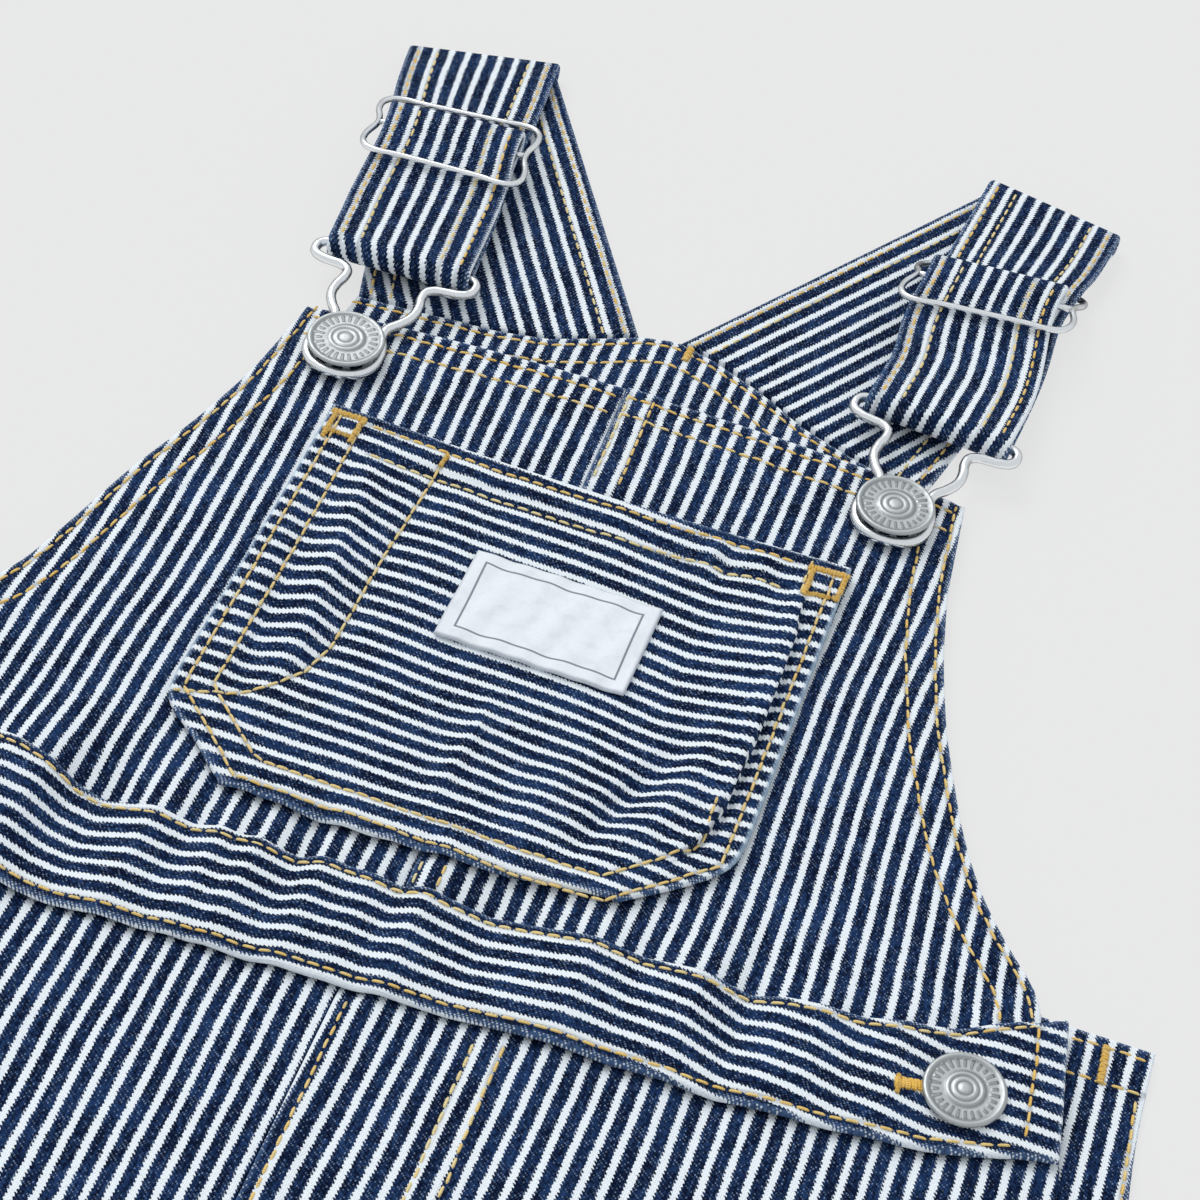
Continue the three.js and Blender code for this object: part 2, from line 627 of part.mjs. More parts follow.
// The wire buckle, in its own plane: half of its loop from the upper bar to the ring
const BUCKLE_HALF = [
  { x: 0, y: 24 },
  { x: 5, y: 24 },
  { x: 10, y: 24 },
  { x: 13.6, y: 24 },
  { x: 14.9, y: 23.3 },
  { x: 15.3, y: 21.9 },
  { x: 14.9, y: 20.6 },
  { x: 13.2, y: 19.7 },
  { x: 11, y: 19.4 },
  { x: 9, y: 19.1 },
  { x: 7.7, y: 18.2 },
  { x: 7.4, y: 16.6 },
  { x: 7.9, y: 14 },
  { x: 7.8, y: 11.4 },
  { x: 6.6, y: 9 },
  { x: 5, y: 6.8 },
  { x: 4.9, y: 4.6 },
  { x: 5.9, y: 2.4 },
  { x: 6.5, y: -0.4 },
  { x: 6.2, y: -3.2 },
  { x: 4.8, y: -5.6 },
  { x: 2.6, y: -7 },
  { x: 0, y: -7.5 },
];
const RING_Z = 5.4; // the buckle's ring, round the button's shank

function buckleLoop(strap) {
  const [x, y] = strap.button;
  const axis = flat(strap.end.outer, 0).lerp(flat(strap.end.inner, 0), 0.5);
  const lean = axis.x - x;
  const reach = axis.y - y;
  const top = BUCKLE_HALF[0].y;
  const half = (sign) => BUCKLE_HALF.map((point) => {
    const part = Math.max(point.y, 0) / top;
    const tilt = (strap.end.outer[1] - strap.end.inner[1]) / (strap.end.outer[0] - strap.end.inner[0]);
    const px = sign * point.x;
    return new THREE.Vector3(
      x + px + lean * part,
      y + point.y * (reach / top) + px * tilt * part,
      THREE.MathUtils.lerp(RING_Z, BUCKLE_Z, part),
    );
  });
  return [...half(1), ...half(-1).slice(1, -1).reverse()];
}

for (const { name } of SIDES) {
  add(`buckle_${name}`, wire(buckleLoop(STRAPS[name]), WIRE, true), NICKEL);
}

// The slider: a wire loop with three bars, the strap's end round the middle one. Half of the loop
// from the upper to the lower bar: how far each point is from its bar towards the middle one, how
// far it has risen or fallen to the middle bar's height, and its reach as a part of the half width
const SLIDER_HALF = 15.2;
const SLIDER_CURVE = [
  { inward: 0, climb: 0, reach: 0 },
  { inward: 0, climb: 0, reach: 0.5 },
  { inward: 0, climb: 0, reach: 0.9 },
  { inward: 0.02, climb: 0.15, reach: 1 },
  { inward: 0.065, climb: 0.5, reach: 1.04 },
];
const SLIDER_WAIST = 0.96; // reach of the sides at the middle bar
const LOW_BAR_SPARE = 0.1;

function sliderParts(strap) {
  const { slider } = strap;
  const topZ = slider.tuckTop
    ? STRAP_CLOTH + GAP + SLIDER_WIRE / 2
    : RUN_Z + STRAP_CLOTH / 2 + GAP + SLIDER_WIRE / 2;
  const lowZ = returnHeight(slider.low, slider) + STRAP_CLOTH / 2 + GAP + SLIDER_WIRE / 2 + LOW_BAR_SPARE;
  const at = (part, z, reach) => {
    const distance = reach * SLIDER_HALF;
    return beside(strap, part + slider.lean * distance, distance + slider.shift, z);
  };
  const arm = (bar, barZ, towards, sign) => SLIDER_CURVE.map(({ inward, climb, reach }) => (
    at(bar + towards * inward, THREE.MathUtils.lerp(barZ, SLIDER_Z, climb), sign * reach)));
  const side = (sign) => [
    ...arm(slider.top, topZ, 1, sign),
    at(slider.middle, SLIDER_Z, sign * SLIDER_WAIST),
    ...arm(slider.low, lowZ, -1, sign).reverse(),
  ];
  const loop = [...side(1), ...side(-1).slice(1, -1).reverse()];
  const bar = [-1, -0.5, 0, 0.5, 1].map((part) => at(slider.middle, SLIDER_Z, part * SLIDER_WAIST));
  return { loop, bar };
}

for (const { name } of SIDES) {
  const { loop, bar } = sliderParts(STRAPS[name]);
  const solid = toSolid(wire(loop, SLIDER_WIRE, true)).add(toSolid(wire(bar, SLIDER_WIRE, false)));
  add(`slider_${name}`, toGeometry(solid), NICKEL);
}

// A button: a foot on the cloth, a shank, and a rimmed disc with a raised middle. Rows of the disc
// are given by how far they are in from its edge and how far they stand above its underside
const FOOT = { extra: 0.1, height: 0.5, blend: 0.2 };
const DISC = [
  { inward: 0.8, above: 0 },
  { inward: 0, above: 0.5 },
  { inward: 0.3, above: 1.1 },
  { inward: 0.9, above: 1.0 },
];
const BOSS = { outer: 0.48, inner: 0.4, low: 0.9, high: 1.3 }; // radii as parts of the disc's
const BUTTON_SIDES = 20;

function button(radius, footZ, discZ) {
  const foot = SHANK_RADIUS + FOOT.extra;
  const profile = [
    [0, footZ],
    [foot, footZ],
    [foot, footZ + FOOT.height],
    [SHANK_RADIUS, footZ + FOOT.height + FOOT.blend],
    [SHANK_RADIUS, discZ],
    ...DISC.map(({ inward, above }) => [radius - inward, discZ + above]),
    [radius * BOSS.outer, discZ + BOSS.low],
    [radius * BOSS.inner, discZ + BOSS.high],
    [0, discZ + BOSS.high],
  ].map(([r, z]) => new THREE.Vector2(r, z));
  const geometry = new THREE.LatheGeometry(profile, BUTTON_SIDES);
  geometry.rotateX(Math.PI / 2);
  return geometry;
}

for (const { name } of SIDES) {
  const [x, y] = STRAPS[name].button;
  const foot = frontTop(x, y) + GAP;
  const geometry = button(BUTTON_RADIUS, foot, RING_Z + WIRE / 2 + GAP);
  geometry.translate(x, y, 0);
  add(`bib_button_${name}`, geometry, NICKEL);
}

for (const { name } of SIDES) {
  const [x, y] = HIP_BUTTONS[name];
  const reach = HIP_BUTTON_RADIUS;
  const around = [[reach, 0], [-reach, 0], [0, reach], [0, -reach], [0, 0]];
  const highest = Math.max(...around.map(([dx, dy]) => bandTop(x + dx, y + dy)));
  const geometry = button(HIP_BUTTON_RADIUS, BACK_TOP_FACE + GAP, highest + GAP);
  geometry.translate(x, y, 0);
  add(`hip_button_${name}`, geometry, NICKEL);
}

export default overalls;
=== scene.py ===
# %% [markdown]
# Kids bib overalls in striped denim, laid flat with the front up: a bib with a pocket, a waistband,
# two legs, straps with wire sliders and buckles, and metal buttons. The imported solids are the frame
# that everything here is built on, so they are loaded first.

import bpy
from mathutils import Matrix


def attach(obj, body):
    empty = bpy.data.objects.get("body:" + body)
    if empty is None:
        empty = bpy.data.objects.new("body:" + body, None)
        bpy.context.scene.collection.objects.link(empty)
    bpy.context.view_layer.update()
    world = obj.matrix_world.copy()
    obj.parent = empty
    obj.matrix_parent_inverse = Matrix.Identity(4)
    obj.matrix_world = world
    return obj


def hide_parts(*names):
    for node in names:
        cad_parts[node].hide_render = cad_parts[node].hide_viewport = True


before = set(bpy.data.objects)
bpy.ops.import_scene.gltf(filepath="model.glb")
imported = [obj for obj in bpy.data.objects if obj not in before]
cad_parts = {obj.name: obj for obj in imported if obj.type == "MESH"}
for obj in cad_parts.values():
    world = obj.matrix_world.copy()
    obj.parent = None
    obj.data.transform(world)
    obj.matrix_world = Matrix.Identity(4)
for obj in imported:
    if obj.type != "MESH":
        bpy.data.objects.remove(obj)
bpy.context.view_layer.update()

# %% [markdown]
# All tables are in millimetres, as a garment maker would measure, and a mesh is turned into metres
# when it is made. Every uneven thing is drawn from one seeded source, so each run gives the same.

# %% Units and selection
import math

import bpy
import numpy as np
from mathutils import Matrix, Vector

MM = 0.001
chance = np.random.default_rng(11)


def deselect():
    """Nothing is selected, so that the next operator acts on the new piece alone."""
    bpy.ops.object.select_all(action="DESELECT")


def add_object(name, data):
    """A new object for a mesh, curve, light or camera: it alone is selected and active."""
    made = bpy.data.objects.new(name, data)
    bpy.context.scene.collection.objects.link(made)
    deselect()
    made.select_set(True)
    bpy.context.view_layer.objects.active = made
    return made


def set_values(mesh, name, values, kind="FLOAT"):
    """A named value on each of the mesh's points, which a material can read."""
    layer = mesh.attributes.new(name, kind, "POINT")
    field = "vector" if kind == "FLOAT_VECTOR" else "value"
    layer.data.foreach_set(field, np.asarray(values).astype(np.float32).ravel())


def point_places(mesh):
    """The mesh's points as rows of x, y and z in metres."""
    places = np.empty(len(mesh.vertices) * 3)
    mesh.vertices.foreach_get("co", places)
    return places.reshape(-1, 3)


def close_up(reach):
    """From edit mode: points within a reach are merged and all faces turned outwards."""
    bpy.ops.mesh.select_all(action="SELECT")
    bpy.ops.mesh.remove_doubles(threshold=reach)
    bpy.ops.mesh.normals_make_consistent(inside=False)
    bpy.ops.object.mode_set(mode="OBJECT")


# %% [markdown]
# The camera stands over the wearer's right hip and looks up the bib, close enough for the frame to
# cut off the legs. Its place and turn were worked out from the stripes, which are an even ruler.

# %% Camera
CAMERA_PLACE = (0.07682, -0.18101, 0.36728)
CAMERA_TURN = Vector((-0.730443, -0.017909, -0.348981))
LENS_MM = 86.897
SENSOR_MM = 36
NEAREST = 0.01

camera_data = bpy.data.cameras.new("Camera")
camera_data.lens = LENS_MM
camera_data.sensor_width = SENSOR_MM
camera_data.clip_start = NEAREST
camera = add_object("Camera", camera_data)
turn = Matrix.Rotation(CAMERA_TURN.length, 3, CAMERA_TURN.normalized()).transposed()
camera.matrix_world = Matrix.Translation(CAMERA_PLACE) @ turn.to_4x4()
bpy.context.scene.camera = camera
bpy.context.scene.view_settings.view_transform = "Standard"
print("camera", CAMERA_PLACE, "lens", LENS_MM)

# %% [markdown]
# The light is a pale studio: an even sky that fills the shadows, a broad soft key from the upper
# left, and a plain pale floor that is lit from within, so that it stays one even tone.

# %% Node helpers


def connect(tree, made, inputs):
    """Each named input of a node, linked to a socket or set to a value."""
    for key, value in inputs.items():
        if isinstance(value, bpy.types.NodeSocket):
            tree.links.new(value, made.inputs[key])
        else:
            made.inputs[key].default_value = value


def node(tree, kind, inputs=None, **settings):
    """A new node with its settings and its inputs."""
    made = tree.nodes.new(kind)
    for name, value in settings.items():
        setattr(made, name, value)
    connect(tree, made, inputs or {})
    return made


def maths(tree, operation, *values):
    """The result of one Math node."""
    return node(tree, "ShaderNodeMath", dict(enumerate(values)), operation=operation).outputs[0]


def sums(tree):
    """Short names for additions, differences and products in one tree."""
    return [lambda *values, kind=kind: maths(tree, kind, *values) for kind in ("ADD", "SUBTRACT", "MULTIPLY")]


def ramp(tree, value, low, high, to_low=0.0, to_high=1.0):
    """A value eased from one range to another."""
    inputs = {"Value": value, "From Min": low, "From Max": high, "To Min": to_low, "To Max": to_high}
    eased = node(tree, "ShaderNodeMapRange", inputs, interpolation_type="SMOOTHSTEP")
    return eased.outputs["Result"]


def blend(tree, part, first, second):
    """Two colours mixed by a part from 0 to 1."""
    mixed = node(tree, "ShaderNodeMix", data_type="RGBA")
    shown = {socket.name: k for k, socket in enumerate(mixed.inputs) if socket.enabled}
    connect(tree, mixed, {shown["Factor"]: part, shown["A"]: first, shown["B"]: second})
    return next(socket for socket in mixed.outputs if socket.enabled)


def noise(tree, vector, scale, detail=2.0, rough=0.5):
    """Soft uneven values from 0 to 1 over a vector."""
    inputs = {"Vector": vector, "Scale": scale, "Detail": detail, "Roughness": rough}
    return node(tree, "ShaderNodeTexNoise", inputs).outputs["Fac"]


def stored(tree, name, output="Fac"):
    """A value that was stored on the mesh's points."""
    return node(tree, "ShaderNodeAttribute", attribute_name=name).outputs[output]


def blank_material(name):
    """A material with a Principled shader wired to its output, and nothing else."""
    material = bpy.data.materials.new(name)
    material.use_nodes = True
    material.node_tree.nodes.clear()
    shader = material.node_tree.nodes.new("ShaderNodeBsdfPrincipled")
    output = material.node_tree.nodes.new("ShaderNodeOutputMaterial")
    material.node_tree.links.new(shader.outputs[0], output.inputs[0])
    return material, material.node_tree, shader


# %% Floor and lights
FLOOR_SIZE = 6.0
FLOOR_DROP = 0.0002
FLOOR_LOOK = {
    "Base Color": (0.12, 0.12, 0.12, 1), "Roughness": 1.0, "Specular IOR Level": 0.0,
    "Emission Color": (1, 1, 1, 1), "Emission Strength": 0.69,
}
SKY = {"Color": (0.93, 0.96, 1.0, 1), "Strength": 0.72}
KEY_STRENGTH = 1.35
KEY_SPREAD = 34
KEY_AIM = Vector((0.62, -0.55, -0.95))

deselect()
bpy.ops.mesh.primitive_plane_add(size=FLOOR_SIZE, location=(0, 0, -FLOOR_DROP))
floor = bpy.context.active_object
floor.name = "floor"
bpy.ops.object.transform_apply(location=True, rotation=True, scale=True)
floor_material, floor_tree, floor_shader = blank_material("Pale floor")
connect(floor_tree, floor_shader, FLOOR_LOOK)
floor.data.materials.append(floor_material)

world = bpy.data.worlds.new("Studio")
bpy.context.scene.world = world
world.use_nodes = True
connect(world.node_tree, world.node_tree.nodes["Background"], SKY)

key_data = bpy.data.lights.new("Key", "SUN")
key_data.energy = KEY_STRENGTH
key_data.angle = math.radians(KEY_SPREAD)
key = add_object("Key", key_data)
key.rotation_mode = "QUATERNION"
key.rotation_quaternion = KEY_AIM.to_track_quat("-Z", "Y")
print("floor, sky and key light")

# %% [markdown]
# The garment's sizes are the same short tables that the solids come from: how far each edge lies
# from the middle line, and how high the front stands off the back. Reading them through one small
# function, smoothed over a short reach, gives curved edges from a few measured places.

# %% Sizes of the cloth
CLOTH = 1.2
BAND_CLOTH = 1.6
LABEL_CLOTH = 1.0
STRAP_CLOTH = 1.4
GAP = 0.3
HALF_LENGTH = 272
HEM_DEPTH = 14
CROTCH_Y = -66
HIP_Y = 80
UNDER_BAND = 3.4
HEM_RISE = 0.34
FELL_RISE = 0.62
BAND_SINK = 1.3
POCKET_SINK = 1.5
STRIPE_START = 1.6
SIDES = {"left": -1, "right": 1}
LABEL = {"x": 4.7, "y": 124.8, "width": 33, "height": 20.4}
POCKET = {"x": 0.6, "half": 47.5, "top": 158, "sag": 1.8, "sag_from": 0.6}
POCKET_SEAM = {"bottom": 72.6, "foot": 31.3, "corner": 87.6}
POCKET_SIDES = {
    "y": [73, 76, 79, 82, 84.5, 87.5, 91, 97, 158],
    "left": [31, 35.2, 38, 42, 45.4, 46.7, 47, 47, 47],
    "right": [31.5, 33.2, 36.8, 40.6, 43.4, 46.4, 48, 48.4, 48.1],
}
POCKET_FOOT = {"x": [-32, -14, -8, 0, 10, 20, 32], "y": [73.4, 72.7, 72.6, 73.6, 73.9, 75.1, 75.9]}
BIB = {
    "y": [58, 86, 92, 97, 104, 114, 132, 147, 162, 184],
    "left": [102, 98, 91, 85.8, 81.4, 78.5, 73.8, 68.5, 64.5, 61.4],
    "right": [102, 99.4, 93.7, 89.2, 84.2, 79.1, 72.1, 67.8, 64.8, 62.6],
}
BIB_TOP = {"middle": 185.3, "fall": 3, "rise": 0.012}
BAND = {
    "x": [-106, -95, -85, -70, -58, -45, -20, 0, 25, 50, 70, 85, 95, 106],
    "top": [85, 78.5, 73.8, 69.4, 66.8, 64.6, 65.5, 66.4, 67.3, 68.7, 69.9, 73.8, 78.8, 85.5],
    "bottom": [58, 52.4, 49.2, 45.6, 43.6, 42.8, 44.4, 45.6, 47.6, 48.3, 49.5, 51.8, 54, 58.8],
}
BAND_END = {"top": 103.4, "bottom": 107.4}
LEGS = {
    "y": [-272, -200, -120, -80, -66, -20, 20, 50, 66, 86],
    "inner": [27, 18.5, 8, 2.6, 0.15, 0.15, 0.15, 0.15, 0.15, 0.15],
    "front": [137, 135.5, 132.5, 129.5, 128, 122.5, 115, 108.8, 106.5, 105],
    "back": [139, 137.5, 134.5, 131.5, 130, 126, 122, 119.6, 117.8, 117.4],
}
BACK = {"y": [70, 86, 100, 120, 145, 190], "half": [98, 85, 78, 70, 61, 55]}
BACK_TOP = {
    "x": [-56, -47, -30, -19, -4, 3, 11, 19, 30, 42, 56],
    "y": [189.5, 190.6, 191.6, 194, 201.5, 203, 201.5, 198, 192, 187.6, 183.5],
}
LOFT = {
    "y": [-272, -180, -60, 30, 75, 130, 190],
    "rise": [2.0, 3.2, 3.4, 2.6, 2.2, 1.8, 0.6],
}
BACK_FACE = CLOTH
FRONT_FACE = BACK_FACE + GAP + CLOTH


def mix(a, b, part):
    """The place that lies a part of the way from a to b."""
    return np.asarray(a, float) + (np.asarray(b, float) - np.asarray(a, float)) * part


def smoothstep(value, low, high):
    """An eased step from 0 at low to 1 at high."""
    part = np.clip((value - low) / (high - low), 0, 1)
    return part * part * (3 - 2 * part)


def read(table, along, place, column, reach=0.0):
    """A column of a table at a place along it, averaged over a short reach on both sides."""
    steps = (-1, -0.5, 0, 0.5, 1)
    place = np.asarray(place, float)
    values = [np.interp(place + step * reach, table[along], table[column]) for step in steps]
    return sum(values) / len(steps)


def settle(start, width_at, height_at):
    """A place whose width follows from its height and whose height follows from its width."""
    x, y = 0, start
    for _ in range(6):
        x = width_at(y)
        y = height_at(x)
    return x, y


def bib_edge(x, y):
    """The bib's half width on the side that a place is on."""
    left, right = (read(BIB, "y", y, side, 4) for side in ("left", "right"))
    return np.where(np.asarray(x) < 0, left, right)


def bib_top_edge(x):
    """The height of the bib's upper edge, which falls towards both corners."""
    return BIB_TOP["middle"] - BIB_TOP["fall"] * (x / BIB["right"][-1]) ** 2 + BIB_TOP["rise"] * x


def leg_edge(y, column):
    """The distance of a leg's inner, front or back edge from the middle line."""
    return read(LEGS, "y", y, column, 6)


def band_edge(x, column):
    """The height of the waistband's upper or lower edge."""
    return read(BAND, "x", x, column, 4)


def towards_side(x, y):
    """How far a place is from the middle of its panel to the panel's side, from 0 to 1."""
    body = np.abs(x) / np.where(y > HIP_Y, bib_edge(x, y), leg_edge(y, "front"))
    inner, outer = leg_edge(y, "inner"), leg_edge(y, "front")
    leg = np.abs(np.abs(x) - (inner + outer) / 2) / ((outer - inner) / 2)
    split = smoothstep(-y, -CROTCH_Y - 20, -CROTCH_Y + 16)
    return np.minimum(body**4 * (1 - split) + leg**4 * split, 1)


print("waist width", 2 * BAND_END["bottom"], "mm, length", 2 * HALF_LENGTH, "mm")

# %% [markdown]
# Cloth that was washed and laid down by hand is never even. Each crease is a short line with a
# height at each of its points and one width: a soft ridge where the height is positive, a trough
# where it is negative. They are listed one by one, uneven in length, depth and spacing.

# %% Lines and creases


def away(x, y, line):
    """Distance of each place from a line of points, and how far along the line it is nearest."""
    best, along, run = np.full(np.shape(x), 1e9), np.zeros(np.shape(x)), 0.0
    for (ax, ay), (bx, by) in zip(line[:-1], line[1:]):
        length = math.hypot(bx - ax, by - ay)
        if length < 1e-9:
            continue
        part = np.clip(((x - ax) * (bx - ax) + (y - ay) * (by - ay)) / length**2, 0, 1)
        apart = np.hypot(x - ax - part * (bx - ax), y - ay - part * (by - ay))
        along = np.where(apart < best, run + part * length, along)
        best = np.minimum(best, apart)
        run += length
    return best, along


def nearest(x, y, lines):
    """Distance of each place from the nearest of several lines."""
    return np.minimum.reduce([away(x, y, line)[0] for line in lines])


def creases(x, y, table):
    """The height that a table of creases adds at each place."""
    total = np.zeros(np.shape(x))
    for wide, points in table:
        line = [(px, py) for px, py, _ in points]
        steps = [math.dist(a, b) for a, b in zip(line[:-1], line[1:])]
        stations = np.concatenate([[0], np.cumsum(steps)])
        apart, along = away(x, y, line)
        high = np.interp(along, stations, [rise for _, _, rise in points])
        total += high * np.exp(-((apart / wide) ** 2))
    return total


def inset(line, distance):
    """The line moved sideways, to its left for a positive distance, with mitred corners."""
    points = np.array(line, float)
    ways = np.diff(points, axis=0)
    ways /= np.linalg.norm(ways, axis=1)[:, None]
    normals = np.stack([-ways[:, 1], ways[:, 0]], 1)
    first, second = np.vstack([normals[:1], normals]), np.vstack([normals, normals[-1:]])
    mitre = (first + second) / (1 + (first * second).sum(1))[:, None]
    return points + distance * mitre


def curve(function, low, high, count=40):
    """Points of a curve from a function that gives x and y."""
    return np.array([function(value) for value in np.linspace(low, high, count)], float)


# Creases of the front, as (width, [(x, y, height), ...])
FRONT_CREASES = [
    (6.5, [(-70, 30, 0.0), (-64, 12, 1.2), (-58, -10, 0.9), (-56, -24, 0)]),
    (5.0, [(-34, 40, 0.2), (-36, 24, -0.7), (-40, 4, -0.5), (-44, -12, 0)]),
    (6.0, [(-86, 38, 0), (-92, 10, 1.3), (-96, -24, 1.4), (-98, -50, 0.2)]),
    (5.5, [(38, 40, 0), (40, 22, 1.0), (38, 0, 1.2), (34, -26, 0.3)]),
    (4.5, [(58, 42, 0.1), (60, 24, -0.8), (58, 2, -0.6), (54, -20, 0)]),
    (6.5, [(84, 44, 0), (88, 22, 1.2), (94, -6, 1.4), (98, -34, 0.3)]),
    (7.0, [(6, -40, 0), (22, -52, 1.6), (44, -68, 1.2), (58, -80, 0)]),
    (6.5, [(-4, -44, 0), (-22, -56, 1.5), (-42, -66, 1.1), (-56, -74, 0)]),
    (8.5, [(64, -92, 0), (82, -118, 1.6), (96, -146, 1.2), (104, -166, 0)]),
    (8.0, [(-56, -100, 0), (-74, -132, 1.5), (-86, -158, 1.1), (-92, -182, 0)]),
    (6.0, [(36, -120, 0), (44, -150, -0.9), (48, -182, -0.5), (50, -200, 0)]),
    (6.0, [(-34, -112, 0), (-38, -142, -0.8), (-44, -176, -0.6), (-48, -198, 0)]),
    (7.5, [(58, -186, 0), (70, -208, 1.2), (80, -232, 0.7), (84, -246, 0)]),
    (7.5, [(-88, -190, 0), (-98, -214, 1.1), (-104, -238, 0.8), (-106, -250, 0)]),
    (4.5, [(82, 104, 0.1), (77, 118, 0.7), (72, 132, 0.2)]),
    (4.0, [(-78, 96, 0.2), (-73, 106, 0.8), (-66, 120, 0.3)]),
    (3.5, [(62, 96, 0), (60, 112, -0.45), (58, 130, 0)]),
    (4.0, [(-60, 90, 0), (-58, 108, -0.5), (-56, 128, 0)]),
]

# The waistband's puckers run across it and fade towards its lower edge
BAND_WAVES = {
    "x": [-108, -101, -94, -88, -80, -72, -63, -57, -52, -47, -42.5, -38.5, -35.5, -32, -27.5,
          -24.5, -21.5, -18, -15, -11, -6.5, -3, 1.5, 5.5, 9, 16, 23, 32, 40, 49, 57, 62, 68, 74,
          80, 88, 94, 101, 108],
    "high": [0.2, 0.8, -0.9, 0.5, -1.3, -0.2, 1.7, 1.2, -1.5, -2.1, -0.7, 0.6, -0.1, -0.9, 0.6,
             -0.1, 0.7, -0.4, -1.1, 0.8, 0.1, 0.2, -0.8, 0.8, -0.2, -1.5, -0.4, 1.1, -0.3, 0.7,
             -1.6, 0.2, 0.9, -0.1, 0.5, -0.6, 0.5, 0.7, 0],
}
BAND_REACH = 9
BAND_PULL = 1.35
LOW_SHARE = 0.42
FINE_STEPS = 433


def band_wave(x, y):
    """The waistband's puckers, which also pull at the cloth just above and below it."""
    fine = np.linspace(BAND_WAVES["x"][0], BAND_WAVES["x"][-1], FINE_STEPS)
    value = np.interp(fine, BAND_WAVES["x"], BAND_WAVES["high"])
    kernel = np.hanning(7) / np.hanning(7).sum()
    high = BAND_PULL * np.interp(x, fine, np.convolve(value, kernel, mode="same"))
    top, bottom = band_edge(x, "top"), band_edge(x, "bottom")
    share = LOW_SHARE + (1 - LOW_SHARE) * smoothstep(np.clip((y - bottom) / (top - bottom), 0, 1), 0.0, 0.75)
    outside = np.maximum(np.maximum(y - top, bottom - y), 0)
    return high * share * np.exp(-((outside / BAND_REACH) ** 2))


def front_top(x, y):
    """The upper face of the front, before anything that is sewn on it."""
    lifted = 1 - towards_side(x, y)
    high = read(LOFT, "y", y, "rise", 12) + creases(x, y, FRONT_CREASES)
    return FRONT_FACE + lifted * high + band_wave(x, y) * np.minimum(1, 2.2 * lifted)


middle = front_top(np.array([0.0, 0.0]), np.array([100.0, 0.0]))
print("front stands", middle.round(2), "mm high at the bib and at the rise")

# %% [markdown]
# The pocket, the waistband and the label lie on the front, so their heights start from it. The
# pocket bags out: a ridge beside the pencil stitch, a valley in its lower right part, and a fold
# that hangs over the right inner stitch row like a small ledge.

# %% Heights of what lies on the front
POCKET_CREASES = [
    (2.7, [(-37, 152, 0.0), (-34.5, 140, 1.1), (-33, 124, 1.6), (-31.5, 106, 1.4), (-31, 94, 0.6)]),
    (2.2, [(-41, 148, -0.4), (-40.5, 128, -0.9), (-38.5, 108, -0.8), (-36.5, 95, -0.5)]),
    (2.4, [(-24, 150, -0.2), (-25.5, 130, -0.7), (-25.5, 108, -0.6), (-30, 96, -0.3)]),
    (4.0, [(-18, 140, 0.2), (-17, 118, 0.3), (-15, 100, 0.1), (-14, 84, 0.2)]),
    (1.6, [(1.6, 106, 0.2), (1.4, 100, 0.9), (0.6, 90, 0.8), (0, 82, 0.2)]),
    (2.2, [(-4.6, 108, 0), (-4.0, 98, -0.35), (-3.6, 86, -0.3)]),
    (2.4, [(33.6, 112, -0.2), (31.4, 104, -1.2), (27.8, 95, -1.6), (24.6, 86, -1.2), (22, 79, -0.2)]),
    (2.8, [(38, 112, 0.5), (36.4, 101, 0.9), (33.2, 91, 0.8), (31, 84, 0.2)]),
    (3.4, [(20, 112, 0.1), (18, 98, 0.5), (15, 86, 0.4)]),
    (3.6, [(9, 104, 0), (9.5, 94, -0.4), (10, 82, -0.2)]),
    (2.0, [(25.2, 153, 0.6), (24.6, 148, 0.7), (24, 143, 0.0)]),
    (1.7, [(28.6, 153, -0.5), (28.4, 148, -0.6), (28.4, 143, 0.0)]),
    (2.0, [(33.8, 153, 0.5), (34.2, 148, 0.4), (34.6, 143, 0.0)]),
    (1.8, [(37.6, 153, -0.4), (37.8, 147, -0.4), (37.8, 143, 0.0)]),
    (3.4, [(8, 153, 0.4), (9, 147, 0.4), (10, 141, 0.0)]),
    (3.0, [(-14, 153, -0.3), (-13, 147, -0.3), (-12, 141, 0.0)]),
]
POCKET_OUTER_ROW = 2.3
POCKET_INNER_ROW = 6.6
POCKET_HEM = {"rise": 0.55, "full": 7.2, "end": 8.6}
MOUTH = {"lift": 0.5, "reach": 26}
BULGE = {"rise": 0.5, "middle": 0.3, "wide": 0.28}
LABEL_LIFT = 0.1
LABEL_WAVES = {"slow": 0.18, "quick": 0.12}
LEDGE_SHAPE = {"reach": 9, "lean": 0.62, "lean_reach": 2.2}
LEDGE_VALLEY = {"deep": 0.5, "out": 0.9, "wide": 0.8}
LEDGE = {
    "y": [84, 90, 95, 101, 112, 128, 140, 147, 152],
    "x": [37.6, 40.2, 42.0, 42.6, 42.9, 43.2, 42.8, 42.2, 41.8],
    "high": [0.0, 0.9, 1.5, 1.8, 1.9, 1.8, 1.4, 0.7, 0.0],
}


def pocket_side(y, column):
    """The distance of the pocket's left or right edge from the middle line."""
    return read(POCKET_SIDES, "y", y, column, 1.5)


def pocket_foot(x):
    """The height of the pocket's lower edge."""
    return read(POCKET_FOOT, "x", x, "y", 3)


def pocket_outline():
    """The pocket's edge from the left end of its mouth, down and round to the right end."""
    down = np.concatenate([np.linspace(POCKET["top"], 96, 8), np.linspace(94, 75, 14)])
    left = np.column_stack([-pocket_side(down, "left"), down])
    right = np.column_stack([pocket_side(down, "right"), down])
    foot = np.linspace(-30, 31, 10)
    return np.vstack([left, np.column_stack([foot, pocket_foot(foot)]), right[::-1]])


